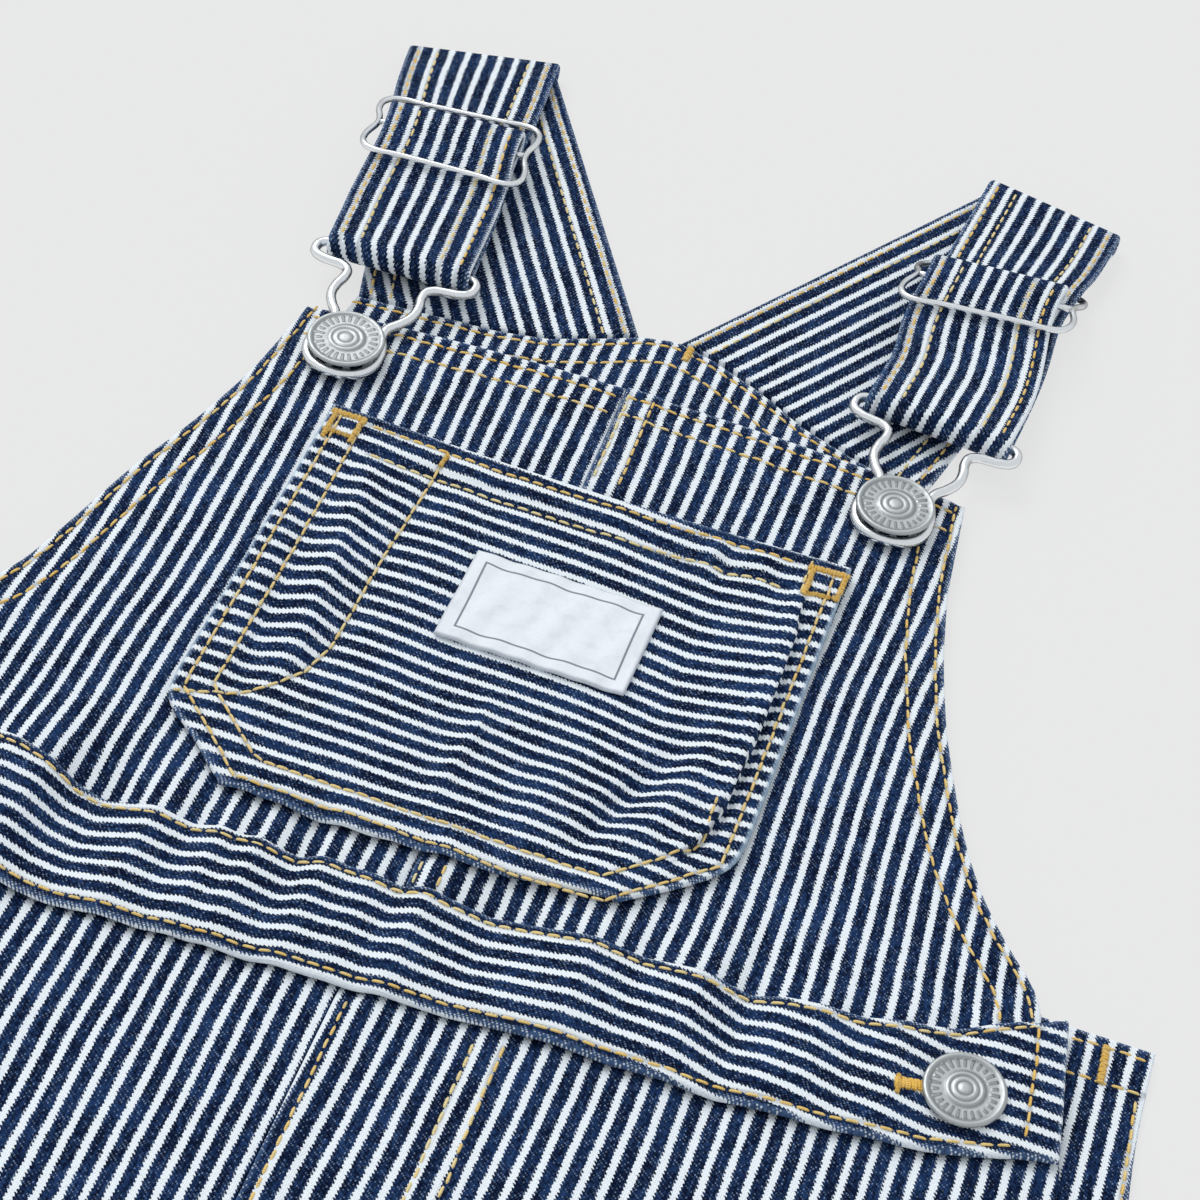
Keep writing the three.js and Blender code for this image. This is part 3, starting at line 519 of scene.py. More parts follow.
def pocket_seam():
    """The straight-sided line that the pocket's stitch rows are set in from."""
    x, half, foot = POCKET["x"], POCKET["half"], POCKET_SEAM["foot"]
    top, corner, bottom = POCKET["top"], POCKET_SEAM["corner"], POCKET_SEAM["bottom"]
    left = [(x - half, top), (x - half, corner), (x - foot, bottom)]
    return np.array(left + [(x + foot, bottom), (x + half, corner), (x + half, top)])


def pocket_depth(x, y):
    """How far inside the pocket's edge a place is, negative outside it."""
    line = pocket_outline()
    apart, _ = away(x, y, np.vstack([line, line[:1]]))
    inside = (x > -pocket_side(y, "left")) & (x < pocket_side(y, "right"))
    inside &= (y > pocket_foot(x)) & (y < POCKET["top"])
    return np.where(inside, apart, -apart)


def ledge_shape(x, y):
    """How far inside the ledge's edge a place is, and how high the ledge stands there."""
    return read(LEDGE, "y", y, "x", 2) - x, read(LEDGE, "y", y, "high", 2)


def ledge(x, y):
    """The fold of the pocket's body that hangs over the right inner stitch row."""
    inside, high = ledge_shape(x, y)
    from_valley = (inside + LEDGE_VALLEY["out"]) / LEDGE_VALLEY["wide"]
    valley = -LEDGE_VALLEY["deep"] * high * np.exp(-(from_valley**2))
    fold = high * np.exp(-(np.maximum(inside, 0) / LEDGE_SHAPE["reach"]) ** 2)
    return fold * smoothstep(inside, -0.3, 0.3) + valley


def ledge_lean(x, y):
    """How far the ledge's upper face leans out over the strip beside it."""
    inside, high = ledge_shape(x, y)
    lean = LEDGE_SHAPE["lean"] * high * np.exp(-(np.maximum(inside, 0) / LEDGE_SHAPE["lean_reach"]) ** 2)
    return lean * smoothstep(inside, -0.2, 0.1)


def pocket_top(x, y):
    """The upper face of the pocket, with its turned hem, its free mouth and its folds."""
    depth = pocket_depth(x, y)
    turned = 1 - smoothstep(depth, POCKET_HEM["full"], POCKET_HEM["end"])
    hem = POCKET_HEM["rise"] * turned * smoothstep(depth, -1, 0.6)
    lift = MOUTH["lift"] * smoothstep(y, POCKET["top"] - MOUTH["reach"], POCKET["top"])
    free = smoothstep(depth, 1.0, 5.0)
    body = creases(x, y, POCKET_CREASES) * free + ledge(x, y)
    return front_top(x, y) + GAP + CLOTH + lift + hem + body


def band_top(x, y):
    """The upper face of the waistband, which bulges between its two stitch rows."""
    top, bottom = band_edge(x, "top"), band_edge(x, "bottom")
    part = (y - bottom) / (top - bottom)
    bulge = BULGE["rise"] * np.exp(-(((part - BULGE["middle"]) / BULGE["wide"]) ** 2))
    return front_top(x, y) + GAP + BAND_CLOTH + bulge


def label_top(x, y):
    """The upper face of the label, a little uneven from washing."""
    dx, dy = x - LABEL["x"], y - LABEL["y"]
    slow = LABEL_WAVES["slow"] * np.sin(dx * 0.55 + 0.6) * np.cos(dy * 0.42)
    quick = LABEL_WAVES["quick"] * np.sin(dx * 1.1 - dy * 0.3)
    return pocket_top(x, y) + LABEL_LIFT + LABEL_CLOTH + (slow + quick)


print("pocket top", pocket_top(np.array([0.0]), np.array([110.0])).round(2), "mm high")

# %% [markdown]
# A panel is a grid that is added flat, given its thickness with Solidify, and then moved by its
# points: the first half of them is the upper face and the second half the lower one. The rim is
# rolled, because a turned edge of denim is round and catches the light. The cloth's own
# millimetres are its UV map, so stripes and weave follow the cut wherever the cloth lies.

# %% Panels of cloth
RIM_STEPS = (0.0, 0.16, 0.4, 0.75, 1.25)
RIM_SHARE = 0.46
SIDE_POINTS = 60
FAR = 50.0
GROOVE = {"deep": 0.16, "wide": 0.9}
THINNEST = 0.05
CUTS = {}


def stations(span, pitch):
    """Places along a span from 0 to 1: close together near both ends, where the cloth rolls over."""
    count = max(int((span - 2 * RIM_STEPS[-1]) / pitch), 3)
    body = np.linspace(RIM_STEPS[-1], span - RIM_STEPS[-1], count + 1)
    rim = np.array(RIM_STEPS[:-1])
    return np.concatenate([rim, body, span - rim[::-1]]) / span


def roll(depth, radius):
    """How far a rolled rim has dropped at a depth in from the edge."""
    inside = np.clip(radius - depth, 0, radius)
    return radius - np.sqrt(radius**2 - inside**2)


def flat_area(cloth):
    """The area of a grid of flat places, by the shoelace rule on its cells."""
    a, b, c, d = cloth[:-1, :-1], cloth[:-1, 1:], cloth[1:, 1:], cloth[1:, :-1]
    first, second = c - a, d - b
    return float(np.abs(first[..., 0] * second[..., 1] - first[..., 1] * second[..., 0]).sum() / 2)


def sheet_piece(name, upper, lower, cloth, edge, seam):
    """A closed piece of cloth from the points of its two faces."""
    rows, columns = edge.shape
    deselect()
    bpy.ops.mesh.primitive_grid_add(x_subdivisions=columns - 1, y_subdivisions=rows - 1, size=1)
    piece = bpy.context.active_object
    piece.name = piece.data.name = name
    thickness = piece.modifiers.new("Thickness", "SOLIDIFY")
    thickness.thickness = 0.01
    thickness.offset = -1
    bpy.ops.object.modifier_apply(modifier=thickness.name)
    mesh = piece.data
    both = np.concatenate([upper.reshape(-1, 3), lower.reshape(-1, 3)]) * MM
    mesh.vertices.foreach_set("co", both.astype(np.float32).ravel())
    corners = np.empty(len(mesh.loops), np.int32)
    mesh.loops.foreach_get("vertex_index", corners)
    places = cloth.reshape(-1, 2)[corners % (rows * columns)]
    mesh.uv_layers[0].name = "Cloth"
    mesh.uv_layers["Cloth"].data.foreach_set("uv", places.astype(np.float32).ravel())
    set_values(mesh, "edge", np.tile(edge.ravel(), 2))
    set_values(mesh, "seam", np.tile(seam.ravel(), 2))
    mesh.update()
    bpy.ops.object.shade_smooth()
    size = np.ptp(cloth.reshape(-1, 2), axis=0) * MM
    CUTS[name] = (float(size[0]), float(size[1]), flat_area(cloth) * MM * MM)
    print(f"{name}: {len(mesh.polygons)} faces, cut {size[0]:.3f} x {size[1]:.3f} m")
    return piece


def panel(name, place, top, cloth, size, pitch, turned, rows=(), thickness=CLOTH, bottom=None, lean=None):
    """A panel whose outline maps the unit square to the ground and whose faces are heights."""
    u, v = np.meshgrid(stations(size[0], pitch), stations(size[1], pitch))
    x, y = place(u, v)
    all_of = slice(None)
    sides = {"low": (0, all_of), "high": (-1, all_of), "left": (all_of, 0), "right": (all_of, -1)}
    lines = {}
    for key, cut in sides.items():
        line = np.stack([x[cut], y[cut]], 1)
        lines[key] = np.vstack([line[:: max(len(line) // SIDE_POINTS, 1)], line[-1:]])
    rim = nearest(x, y, lines.values())
    radius = thickness * RIM_SHARE
    edge = nearest(x, y, [lines[key] for key in turned]) if turned else np.full(x.shape, FAR)
    seam = nearest(x, y, [line["points"] for line in rows]) if rows else np.full(x.shape, FAR)
    groove = GROOVE["deep"] * np.exp(-((seam / GROOVE["wide"]) ** 2))
    shift = lean(x, y) if lean else 0
    upper = np.stack([x + shift, y, top(x, y) - roll(rim, radius) - groove], -1)
    under = bottom(x, y) if bottom else top(x, y) - thickness
    lower = np.stack([x, y, under + roll(rim, radius)], -1)
    lower[..., 2] = np.minimum(lower[..., 2], upper[..., 2] - THINNEST)
    return sheet_piece(name, upper, lower, np.stack(cloth(x, y), -1), edge, seam)


# %% [markdown]
# Thread is what makes it workwear: double rows of golden stitches beside every edge. One stitch is
# modelled from a small sphere, pulled long and blunt, and copied along each row with its own small
# differences. It dips at both ends, where the needle pulled it into the cloth.

# %% One stitch and its rows
STITCH = {"pitch": 2.5, "length": 2.15, "thread": 0.25, "sink": 0.16}
CLOSE = {"pitch": 2.25}
BAR = {"pitch": 99, "thread": 0.33, "sink": -0.12}
BAR_STEP = 0.46
BAR_LEAN = 0.14
UNEVEN = {"place": 0.06, "end": 0.04, "tint": 0.08}


def stitch_shape():
    """Points and faces of one stitch, a unit long and a unit round."""
    deselect()
    bpy.ops.mesh.primitive_uv_sphere_add(segments=6, ring_count=6, radius=1)
    bead = bpy.context.active_object
    bpy.ops.object.mode_set(mode="EDIT")
    bpy.ops.mesh.select_all(action="SELECT")
    bpy.ops.transform.rotate(value=math.pi / 2, orient_axis="Y", center_override=(0, 0, 0))
    bpy.ops.object.mode_set(mode="OBJECT")
    points = point_places(bead.data)
    faces = [tuple(face.vertices) for face in bead.data.polygons]
    bpy.data.objects.remove(bead)
    blunt = np.sqrt(np.clip(1 - np.abs(points[:, 0]) ** 5, 0, 1))
    round_part = np.hypot(points[:, 1], points[:, 2])
    points[:, 1:] *= (blunt / np.maximum(round_part, 1e-6))[:, None]
    return points, faces


STITCH_POINTS, STITCH_FACES = stitch_shape()


def row(points, tint, **more):
    """A row of stitches along a line, golden at tint 0 and straw at tint 1."""
    return {**STITCH, "points": points, "tint": tint, **more}


def walk(line, pitch, length):
    """Start and end places of the stitches along a line."""
    line = np.array(line, float)
    run = np.concatenate([[0], np.cumsum(np.linalg.norm(np.diff(line, axis=0), axis=1))])
    starts = np.arange(0.4, run[-1] - length * 0.6, pitch)
    at = lambda s: np.stack([np.interp(s, run, line[:, k]) for k in range(line.shape[1])], 1)
    return at(starts), at(np.minimum(starts + length, run[-1]))


def thread_piece(name, parts):
    """One mesh from many stitches, each given by its ends, its normal, its radius and its tint."""
    starts, ends, normals, radii, tints = (np.concatenate(column) for column in zip(*parts))
    way = ends - starts
    length = np.linalg.norm(way, axis=1)[:, None]
    way = way / length
    side = np.cross(normals, way)
    side /= np.linalg.norm(side, axis=1)[:, None]
    lift = np.cross(way, side)
    middle_place = (starts + ends) / 2 + lift * radii[:, None] * 0.45
    shape = STITCH_POINTS
    arch = shape[:, 2] - 1.15 * shape[:, 0] ** 4
    points = (
        middle_place[:, None]
        + way[:, None] * (shape[:, :1] * length[:, None] / 2)
        + side[:, None] * (shape[:, 1:2] * radii[:, None, None])
        + lift[:, None] * (arch[:, None] * radii[:, None, None])
    )
    count = len(shape)
    faces = [tuple(v + k * count for v in face) for k in range(len(starts)) for face in STITCH_FACES]
    mesh = bpy.data.meshes.new(name)
    mesh.from_pydata((points.reshape(-1, 3) * MM).tolist(), [], faces)
    set_values(mesh, "along", np.tile(shape[:, 0], len(starts)))
    set_values(mesh, "tint", np.repeat(tints, count))
    piece = add_object(name, mesh)
    bpy.ops.object.shade_smooth()
    print(f"{name}: {len(starts)} stitches, {len(mesh.polygons)} faces")
    return piece


def thread_tints(tint, count):
    """A slightly different tint for each stitch of a row."""
    return np.clip(tint + chance.normal(0, UNEVEN["tint"], count), 0, 1)


def sewn(rows, top):
    """The stitches of rows that lie on a surface given by its height."""
    parts = []
    for line in rows:
        low, high = walk(line["points"], line["pitch"], line["length"])
        if not len(low):
            continue
        jitter = chance.normal(0, UNEVEN["place"], low.shape)
        low, high = low + jitter, high + jitter + chance.normal(0, UNEVEN["end"], low.shape)
        ends = [np.column_stack([p, top(p[:, 0], p[:, 1]) - line["sink"]]) for p in (low, high)]
        centre = (low + high) / 2
        slope = [
            top(centre[:, 0] + dx, centre[:, 1] + dy) - top(centre[:, 0] - dx, centre[:, 1] - dy)
            for dx, dy in ((0.5, 0), (0, 0.5))
        ]
        normals = np.column_stack([-slope[0], -slope[1], np.ones(len(low))])
        normals /= np.linalg.norm(normals, axis=1)[:, None]
        tints = thread_tints(line["tint"], len(low))
        parts.append((*ends, normals, np.full(len(low), line["thread"]), tints))
    return parts


def bars(table, tint=0.1):
    """Bartacks, each from a start to an end and a width across: short threads side by side."""
    rows = []
    for start, end, width in table:
        start, end = np.array(start, float), np.array(end, float)
        length = np.linalg.norm(end - start)
        way = (end - start) / length
        across = np.array([-way[1], way[0]]) * width / 2
        for k, place in enumerate(np.linspace(start, end, int(length / BAR_STEP) + 1)):
            lean = way * BAR_LEAN * (-1) ** k
            rows.append(row([place - across - lean, place + across + lean], tint, **{**BAR, "length": width}))
    return rows


print("one stitch has", len(STITCH_FACES), "faces")

# %% [markdown]
# Denim is a twill: each lengthwise yarn passes over several crossing yarns and under one, a step
# further on from yarn to yarn. The pale crossing yarns show as specks on a slant in the navy
# stripes and make the stripes' edges jagged. Indigo washes out unevenly and first of all on turned
# edges. One node group does this from the cloth's own millimetres.

# %% Striped twill
REPEAT = 3.2
YARN = 0.32
PICK = 0.66
HALF_WHITE = 0.56
NAVY_DARK = (0.0010, 0.0047, 0.023, 1)
NAVY_WORN = (0.0135, 0.043, 0.134, 1)
SPECK_BLUE = (0.36, 0.48, 0.66, 1)
OFF_WHITE = (0.90, 0.955, 0.985, 1)
# The painted shade on the round sides of the white yarns, also used for their mottled tone
WHITE_SHADE = (0.56, 0.66, 0.78, 1)
WASHED = (0.095, 0.175, 0.34, 1)
PALE_EDGE = (0.42, 0.56, 0.70, 1)
# The colour of the painted shade on the cloth beside each stitch row
PAINTED_SEAM_SHADE = (0.012, 0.022, 0.05, 1)
TOOTH = 0.14
FRAY = 0.22
STRIPE_SOFT = 0.07


def striped_twill():
    """A group that turns cloth millimetres into the colour, height and roughness of the denim."""
    tree = bpy.data.node_groups.new("Striped twill", "ShaderNodeTree")
    for name, way, kind in (
        ("Cloth", "INPUT", "Vector"), ("Edge", "INPUT", "Float"), ("Seam", "INPUT", "Float"),
        ("Color", "OUTPUT", "Color"), ("Height", "OUTPUT", "Float"), ("Roughness", "OUTPUT", "Float"),
    ):
        tree.interface.new_socket(name, in_out=way, socket_type=f"NodeSocket{kind}")
    given = tree.nodes.new("NodeGroupInput")
    cloth, edge, seam = (given.outputs[name] for name in ("Cloth", "Edge", "Seam"))
    add, minus, times = sums(tree)
    split = node(tree, "ShaderNodeSeparateXYZ", {0: cloth})
    v = split.outputs["Y"]
    u = add(split.outputs["X"], times(minus(noise(tree, cloth, 0.07, 1), 0.5), 0.5))

    # Each yarn is numbered across the cloth and each pick along it, a third of a pick on per yarn
    yarns = maths(tree, "DIVIDE", u, YARN)
    yarn = maths(tree, "FLOOR", yarns)
    yarn_part = minus(maths(tree, "FRACT", yarns), 0.5)
    rows_of_picks = maths(tree, "DIVIDE", v, PICK)
    picks = add(rows_of_picks, maths(tree, "DIVIDE", yarn, 3.0))
    pick_part = minus(maths(tree, "FRACT", picks), 0.5)
    cell = node(tree, "ShaderNodeCombineXYZ", {0: yarn, 1: maths(tree, "FLOOR", picks)}).outputs[0]
    lot = node(tree, "ShaderNodeTexWhiteNoise", {"Vector": cell}, noise_dimensions="2D").outputs["Value"]

    # The stripe's edge is jagged with the slant of the twill
    slant = add(rows_of_picks, maths(tree, "DIVIDE", u, 3 * YARN))
    tooth = times(maths(tree, "SINE", times(slant, 2 * math.pi)), TOOTH)
    jagged = add(add(u, tooth), times(minus(lot, 0.5), FRAY))
    place = maths(tree, "FRACT", add(maths(tree, "DIVIDE", jagged, REPEAT), 0.5))
    off_centre = times(maths(tree, "ABSOLUTE", minus(place, 0.5)), REPEAT)
    white = ramp(tree, off_centre, HALF_WHITE + STRIPE_SOFT, HALF_WHITE - STRIPE_SOFT)

    # Navy wears in streaks and clouds, and pale picks show in it as specks
    across = maths(tree, "POWER", times(yarn_part, 2.1), 2.0)
    along = maths(tree, "POWER", times(pick_part, 3.4), 2.0)
    spot = ramp(tree, add(across, along), 1.1, 0.15)
    mottle = noise(tree, cloth, 1.5, 3, 0.65)
    cloud = noise(tree, cloth, 0.11, 2)
    yarn_way = node(tree, "ShaderNodeCombineXYZ", {0: times(yarn, 7.3), 1: times(v, 0.34)}).outputs[0]
    streak = noise(tree, yarn_way, 1.0, 2)
    worn = add(add(times(mottle, 0.55), times(streak, 0.45)), times(minus(cloud, 0.5), 0.35))
    navy = blend(tree, ramp(tree, worn, 0.40, 0.66), NAVY_DARK, NAVY_WORN)
    shown = times(spot, ramp(tree, lot, 0.45, 1.0, 0.06, 0.8))
    shown = times(shown, ramp(tree, mottle, 0.35, 0.65, 0.35, 1.0))
    navy = blend(tree, times(shown, 0.7), navy, SPECK_BLUE)
    # White yarns get painted shade towards their sides, as round yarns under light, and a mottled tone
    painted_shade_and_mottle = add(times(ramp(tree, across, 0.25, 1.0), 0.30), times(ramp(tree, mottle, 0.45, 0.8), 0.25))
    pale = blend(tree, painted_shade_and_mottle, OFF_WHITE, WHITE_SHADE)

    # Turned edges are rubbed pale with white dots, and beside each stitch row the cloth gets painted shade
    # and a groove
    rub = times(ramp(tree, edge, 1.1, 0.1), ramp(tree, mottle, 0.25, 0.6, 0.35, 1.0))
    navy = blend(tree, times(rub, 0.7), navy, WASHED)
    dots = times(times(spot, ramp(tree, lot, 0.3, 0.5)), rub)
    navy = blend(tree, times(dots, 0.8), navy, OFF_WHITE)
    seam_shade_and_groove = ramp(tree, seam, 0.75, 0.1)
    colour = blend(tree, times(seam_shade_and_groove, 0.42), blend(tree, white, navy, pale), PAINTED_SEAM_SHADE)
    height = minus(times(minus(1.0, across), 0.06), times(spot, 0.05))
    height = minus(add(height, times(mottle, 0.10)), times(seam_shade_and_groove, 0.16))
    rough = ramp(tree, white, 0, 1, 0.86, 0.92)
    result = tree.nodes.new("NodeGroupOutput")
    connect(tree, result, {"Color": colour, "Height": height, "Roughness": rough})
    return tree


def denim_material():
    """Denim from the twill group, with the pocket's folded sides rubbed to a pale line."""
    material, tree, shader = blank_material("Striped denim")
    cloth = node(tree, "ShaderNodeUVMap", uv_map="Cloth").outputs[0]
    given = {"Cloth": cloth, "Edge": stored(tree, "edge"), "Seam": stored(tree, "seam")}
    twill = node(tree, "ShaderNodeGroup", node_tree=striped_twill())
    connect(tree, twill, given)
    bump = node(tree, "ShaderNodeBump", {"Distance": MM, "Height": twill.outputs["Height"]})
    connect(tree, shader, {
        "Base Color": blend(tree, stored(tree, "pale"), twill.outputs["Color"], PALE_EDGE),
        "Roughness": twill.outputs["Roughness"], "Normal": bump.outputs[0], "Specular IOR Level": 0.05,
    })
    return material


DENIM = denim_material()
print("denim:", len(DENIM.node_tree.nodes), "nodes and", len(bpy.data.node_groups), "group")

# %% [markdown]
# Thread, label and metal. The thread is golden to straw, twisted from plies that show as a fine
# slant, with painted shade where it dips into the cloth. The label is a plain white weave with no
# lettering. The metal is satin nickel: bright, a little rough, with finest scratches and a darker
# tone in its grooves; the wires' sides carry a painted dark reflection.

# %% Thread, label and metal
THREAD_GOLD = (1.0, 0.60, 0.095, 1)
THREAD_STRAW = (1.0, 0.90, 0.50, 1)
LABEL_WHITE = (0.87, 0.905, 0.94, 1)
LABEL_SHADE = (0.60, 0.645, 0.70, 1)
NICKEL_TONE = (0.49, 0.515, 0.515, 1)
NICKEL_DARK = (0.09, 0.095, 0.10, 1)
WIRE_TONE = (0.90, 0.92, 0.93, 1)
LINE_TONE = (0.10, 0.12, 0.17, 1)
THREAD_SHADE = (0.20, 0.12, 0.03, 1)
LABEL_LINE = {"inset": 2.6, "half": 0.17}
LABEL_RIB = 0.36


def thread_material():
    """Twisted thread, with painted shade where it dips into the cloth."""
    material, tree, shader = blank_material("Golden thread")
    along = stored(tree, "along")
    grain = noise(tree, node(tree, "ShaderNodeTexCoord").outputs["Object"], 1800.0, 2)
    colour = blend(tree, stored(tree, "tint"), THREAD_GOLD, THREAD_STRAW)
    # Painted shade towards each stitch's ends, where it dips into the cloth, and a darker grain
    end = ramp(tree, maths(tree, "ABSOLUTE", along), 0.7, 1.0, 0.0, 0.35)
    shade = maths(tree, "ADD", end, ramp(tree, grain, 0.5, 0.75, 0.0, 0.2))
    colour = blend(tree, shade, colour, THREAD_SHADE)
    ply = maths(tree, "SINE", maths(tree, "MULTIPLY", along, 22.0))
    bump = node(tree, "ShaderNodeBump", {"Distance": 0.05 * MM, "Height": ply})
    connect(tree, shader, {
        "Base Color": colour, "Normal": bump.outputs[0], "Roughness": 0.55, "Sheen Weight": 0.15,
    })
    return material


def label_material():
    """A white weave with painted shade in its low places and along its rim, and one thin line printed a
    little inside its edge.
    """
    material, tree, shader = blank_material("White woven label")
    add, minus, times = sums(tree)
    cloth = node(tree, "ShaderNodeUVMap", uv_map="Cloth").outputs[0]
    places = node(tree, "ShaderNodeSeparateXYZ", {0: cloth}).outputs[:2]
    weave = times(*(maths(tree, "SINE", times(place, 2 * math.pi / LABEL_RIB)) for place in places))
    cloud = noise(tree, cloth, 0.35, 3)
    # Painted shade in the weave's low places, and a mottled tone from a cloud
    painted_shade_and_mottle = add(ramp(tree, weave, -0.2, -1.0, 0.0, 0.3), ramp(tree, cloud, 0.45, 0.75, 0.0, 0.3))
    # Painted shadow along the label's rim, darker towards its edge
    painted_shade_and_mottle = add(painted_shade_and_mottle, ramp(tree, stored(tree, "edge"), 0.7, 0.1, 0.0, 0.75))
    colour = blend(tree, painted_shade_and_mottle, LABEL_WHITE, LABEL_SHADE)
    beyond = []
    for place, centre, size in zip(places, ("x", "y"), ("width", "height")):
        apart = maths(tree, "ABSOLUTE", minus(place, LABEL[centre]))
        beyond.append(minus(apart, LABEL[size] / 2 - LABEL_LINE["inset"]))
    from_line = maths(tree, "ABSOLUTE", maths(tree, "MAXIMUM", *beyond))
    line = ramp(tree, from_line, LABEL_LINE["half"] + 0.1, LABEL_LINE["half"] - 0.08, 0.0, 0.85)
    colour = blend(tree, line, colour, LINE_TONE)
    bump = node(tree, "ShaderNodeBump", {"Distance": 0.03 * MM, "Height": weave})
    connect(tree, shader, {"Base Color": colour, "Normal": bump.outputs[0], "Roughness": 0.7})
    return material


TICKS = 26
TICK_RING = {"middle": 0.7, "half": 0.055}


def tick_marks(tree):
    """The fine marks round a button, from each point's place across its disc."""
    add, minus, times = sums(tree)
    spoke = stored(tree, "spoke", "Vector")
    out = node(tree, "ShaderNodeVectorMath", {0: spoke}, operation="LENGTH").outputs["Value"]
    split = node(tree, "ShaderNodeSeparateXYZ", {0: spoke})
    turn_part = maths(tree, "ARCTAN2", split.outputs["Y"], split.outputs["X"])
    angle = times(turn_part, TICKS / 2 / math.pi)
    number = {"W": maths(tree, "FLOOR", angle)}
    lot = node(tree, "ShaderNodeTexWhiteNoise", number, noise_dimensions="1D").outputs["Value"]
    beside = maths(tree, "ABSOLUTE", minus(maths(tree, "FRACT", angle), 0.5))
    off_ring = maths(tree, "ABSOLUTE", minus(out, TICK_RING["middle"]))
    ring = ramp(tree, minus(off_ring, add(times(lot, 0.07), TICK_RING["half"])), 0.04, -0.02)
    return times(ramp(tree, beside, 0.30, 0.16), ring)


def nickel_material():
    """Satin nickel: darker and rougher on the buttons, brighter and smoother on the wires, whose sides get a
    painted dark reflection.
    """
    material, tree, shader = blank_material("Satin nickel")
    add, minus, times = sums(tree)
    place = node(tree, "ShaderNodeTexCoord").outputs["Object"]
    cloud, fine = noise(tree, place, 900.0, 3), noise(tree, place, 5200.0, 2)
    tick, bright = tick_marks(tree), stored(tree, "bright")
    turned = node(tree, "ShaderNodeLayerWeight", {"Blend": 0.5}).outputs["Facing"]
    # A darker tone in the grooves, in clouds and on the ticks
    dark_tone_and_painted_side_shade = add(stored(tree, "groove"), ramp(tree, cloud, 0.55, 0.85, 0.0, 0.18))
    dark_tone_and_painted_side_shade = add(dark_tone_and_painted_side_shade, times(tick, 0.38))
    # Painted dark reflection on the wires' sides, which turn away from the view
    dark_tone_and_painted_side_shade = add(dark_tone_and_painted_side_shade, times(ramp(tree, turned, 0.35, 0.9, 0.0, 0.85), bright))
    colour = blend(tree, dark_tone_and_painted_side_shade, blend(tree, bright, NICKEL_TONE, WIRE_TONE), NICKEL_DARK)
    bump = node(tree, "ShaderNodeBump", {"Distance": 0.12 * MM, "Height": add(times(fine, 0.1), tick)})
    rough = minus(ramp(tree, cloud, 0.3, 0.7, 0.44, 0.55), times(bright, 0.24))
    connect(tree, shader, {
        "Base Color": colour, "Roughness": rough, "Normal": bump.outputs[0], "Metallic": 1.0,
    })
    return material


GOLDEN_THREAD, LABEL_WEAVE, NICKEL = thread_material(), label_material(), nickel_material()
print("thread, label and nickel")

# %% [markdown]
# The bib is two halves that meet in a felled seam: the right half folds over the left and two rows
# hold it. A hem runs along the armholes and the top. Below the pocket and the waistband the bib is
# let down a little, so that what is sewn on it never shows it through. The cloth was laid down by
# hand, so its stripes stray by up to a repeat: a short table says how far at a few heights.

# %% Bib
SEAM_LEAN = 0.0245
HEM_WIDE = 10.5
BIB_PITCH = 1.05
SEWN_IN = {"outer": 1.6, "inner": 6.6}
TOP_ROWS = {"upper": 2.6, "lower": 7.2}
SEAM_ROWS = {"first": 1.1, "second": 5.7, "second_below": 4.9}
ROPING = {"high": 0.132, "pitch": 6.1, "lean": 0.9}


def seam_x(y):
    """The felled seam's fold, which drifts a little to the right on its way down."""
    return -0.9 + SEAM_LEAN * (165 - np.asarray(y, float))


def armhole(side, inward):
    """A line along an armhole's edge, moved in by a distance."""
    sign = -1 if side == "left" else 1
    line = curve(lambda y: (sign * float(bib_edge(sign, y)), y), 77, float(bib_top_edge(62)) - 0.5)
    return inset(line, inward if sign > 0 else -inward)


def bib_top_line(inward):
    """A line along the bib's upper edge, a distance down from it."""
    return curve(lambda x: (x, float(bib_top_edge(x)) - inward), -60, 61)


BIB_EDGES = [armhole("left", 0), armhole("right", 0), bib_top_line(0)]


def roping(along, apart):
    """The slanted waves of a hem that was sewn a little askew."""
    pitch = ROPING["pitch"]
    wave = np.sin(2 * np.pi * (along + apart * ROPING["lean"]) / pitch)
    wave = wave + 0.5 * np.sin(2 * np.pi * along / (pitch * 2.7) + 1)
    return ROPING["high"] * wave * smoothstep(apart, 11, 6) * smoothstep(apart, 0.2, 2.0)


def bib_top(x, y):
    """The upper face of the bib, with its hems and its felled seam."""
    depth = pocket_depth(x, y)
    under = smoothstep(depth, 0.4, 4.0) * POCKET_SINK
    band = smoothstep(band_edge(x, "top") - y, 0.2, 2.5) * BAND_SINK
    hem, ropes = np.zeros(np.shape(x)), np.zeros(np.shape(x))
    for line in BIB_EDGES:
        apart, along = away(x, y, line)
        hem = np.maximum(hem, HEM_RISE * (1 - smoothstep(apart, HEM_WIDE - 1, HEM_WIDE + 0.6)))
        ropes = ropes + roping(along, apart)
    beside = x - seam_x(y)
    fell = FELL_RISE * smoothstep(beside, -0.1, 0.3) * (1 - smoothstep(beside, 6.2, 7.6))
    fell *= smoothstep(-depth, -0.5, 2.0) * smoothstep(y - band_edge(x, "top"), -1, 2)
    return front_top(x, y) + hem + ropes + fell - under - band


def bib_place(sign):
    """The outline of one bib half, from the seam to the armhole and from the band to the top."""
    def place(u, v):
        part = u if sign > 0 else 1 - u

        def width_at(y):
            return seam_x(y) + part * (sign * bib_edge(sign, y) - seam_x(y))

        def height_at(x):
            low = band_edge(x, "top") - 2 * UNDER_BAND
            return low + (bib_top_edge(x) - low) * v

        return settle(BIB["y"][0] + (BIB["y"][-1] - BIB["y"][0]) * v, width_at, height_at)
    return place


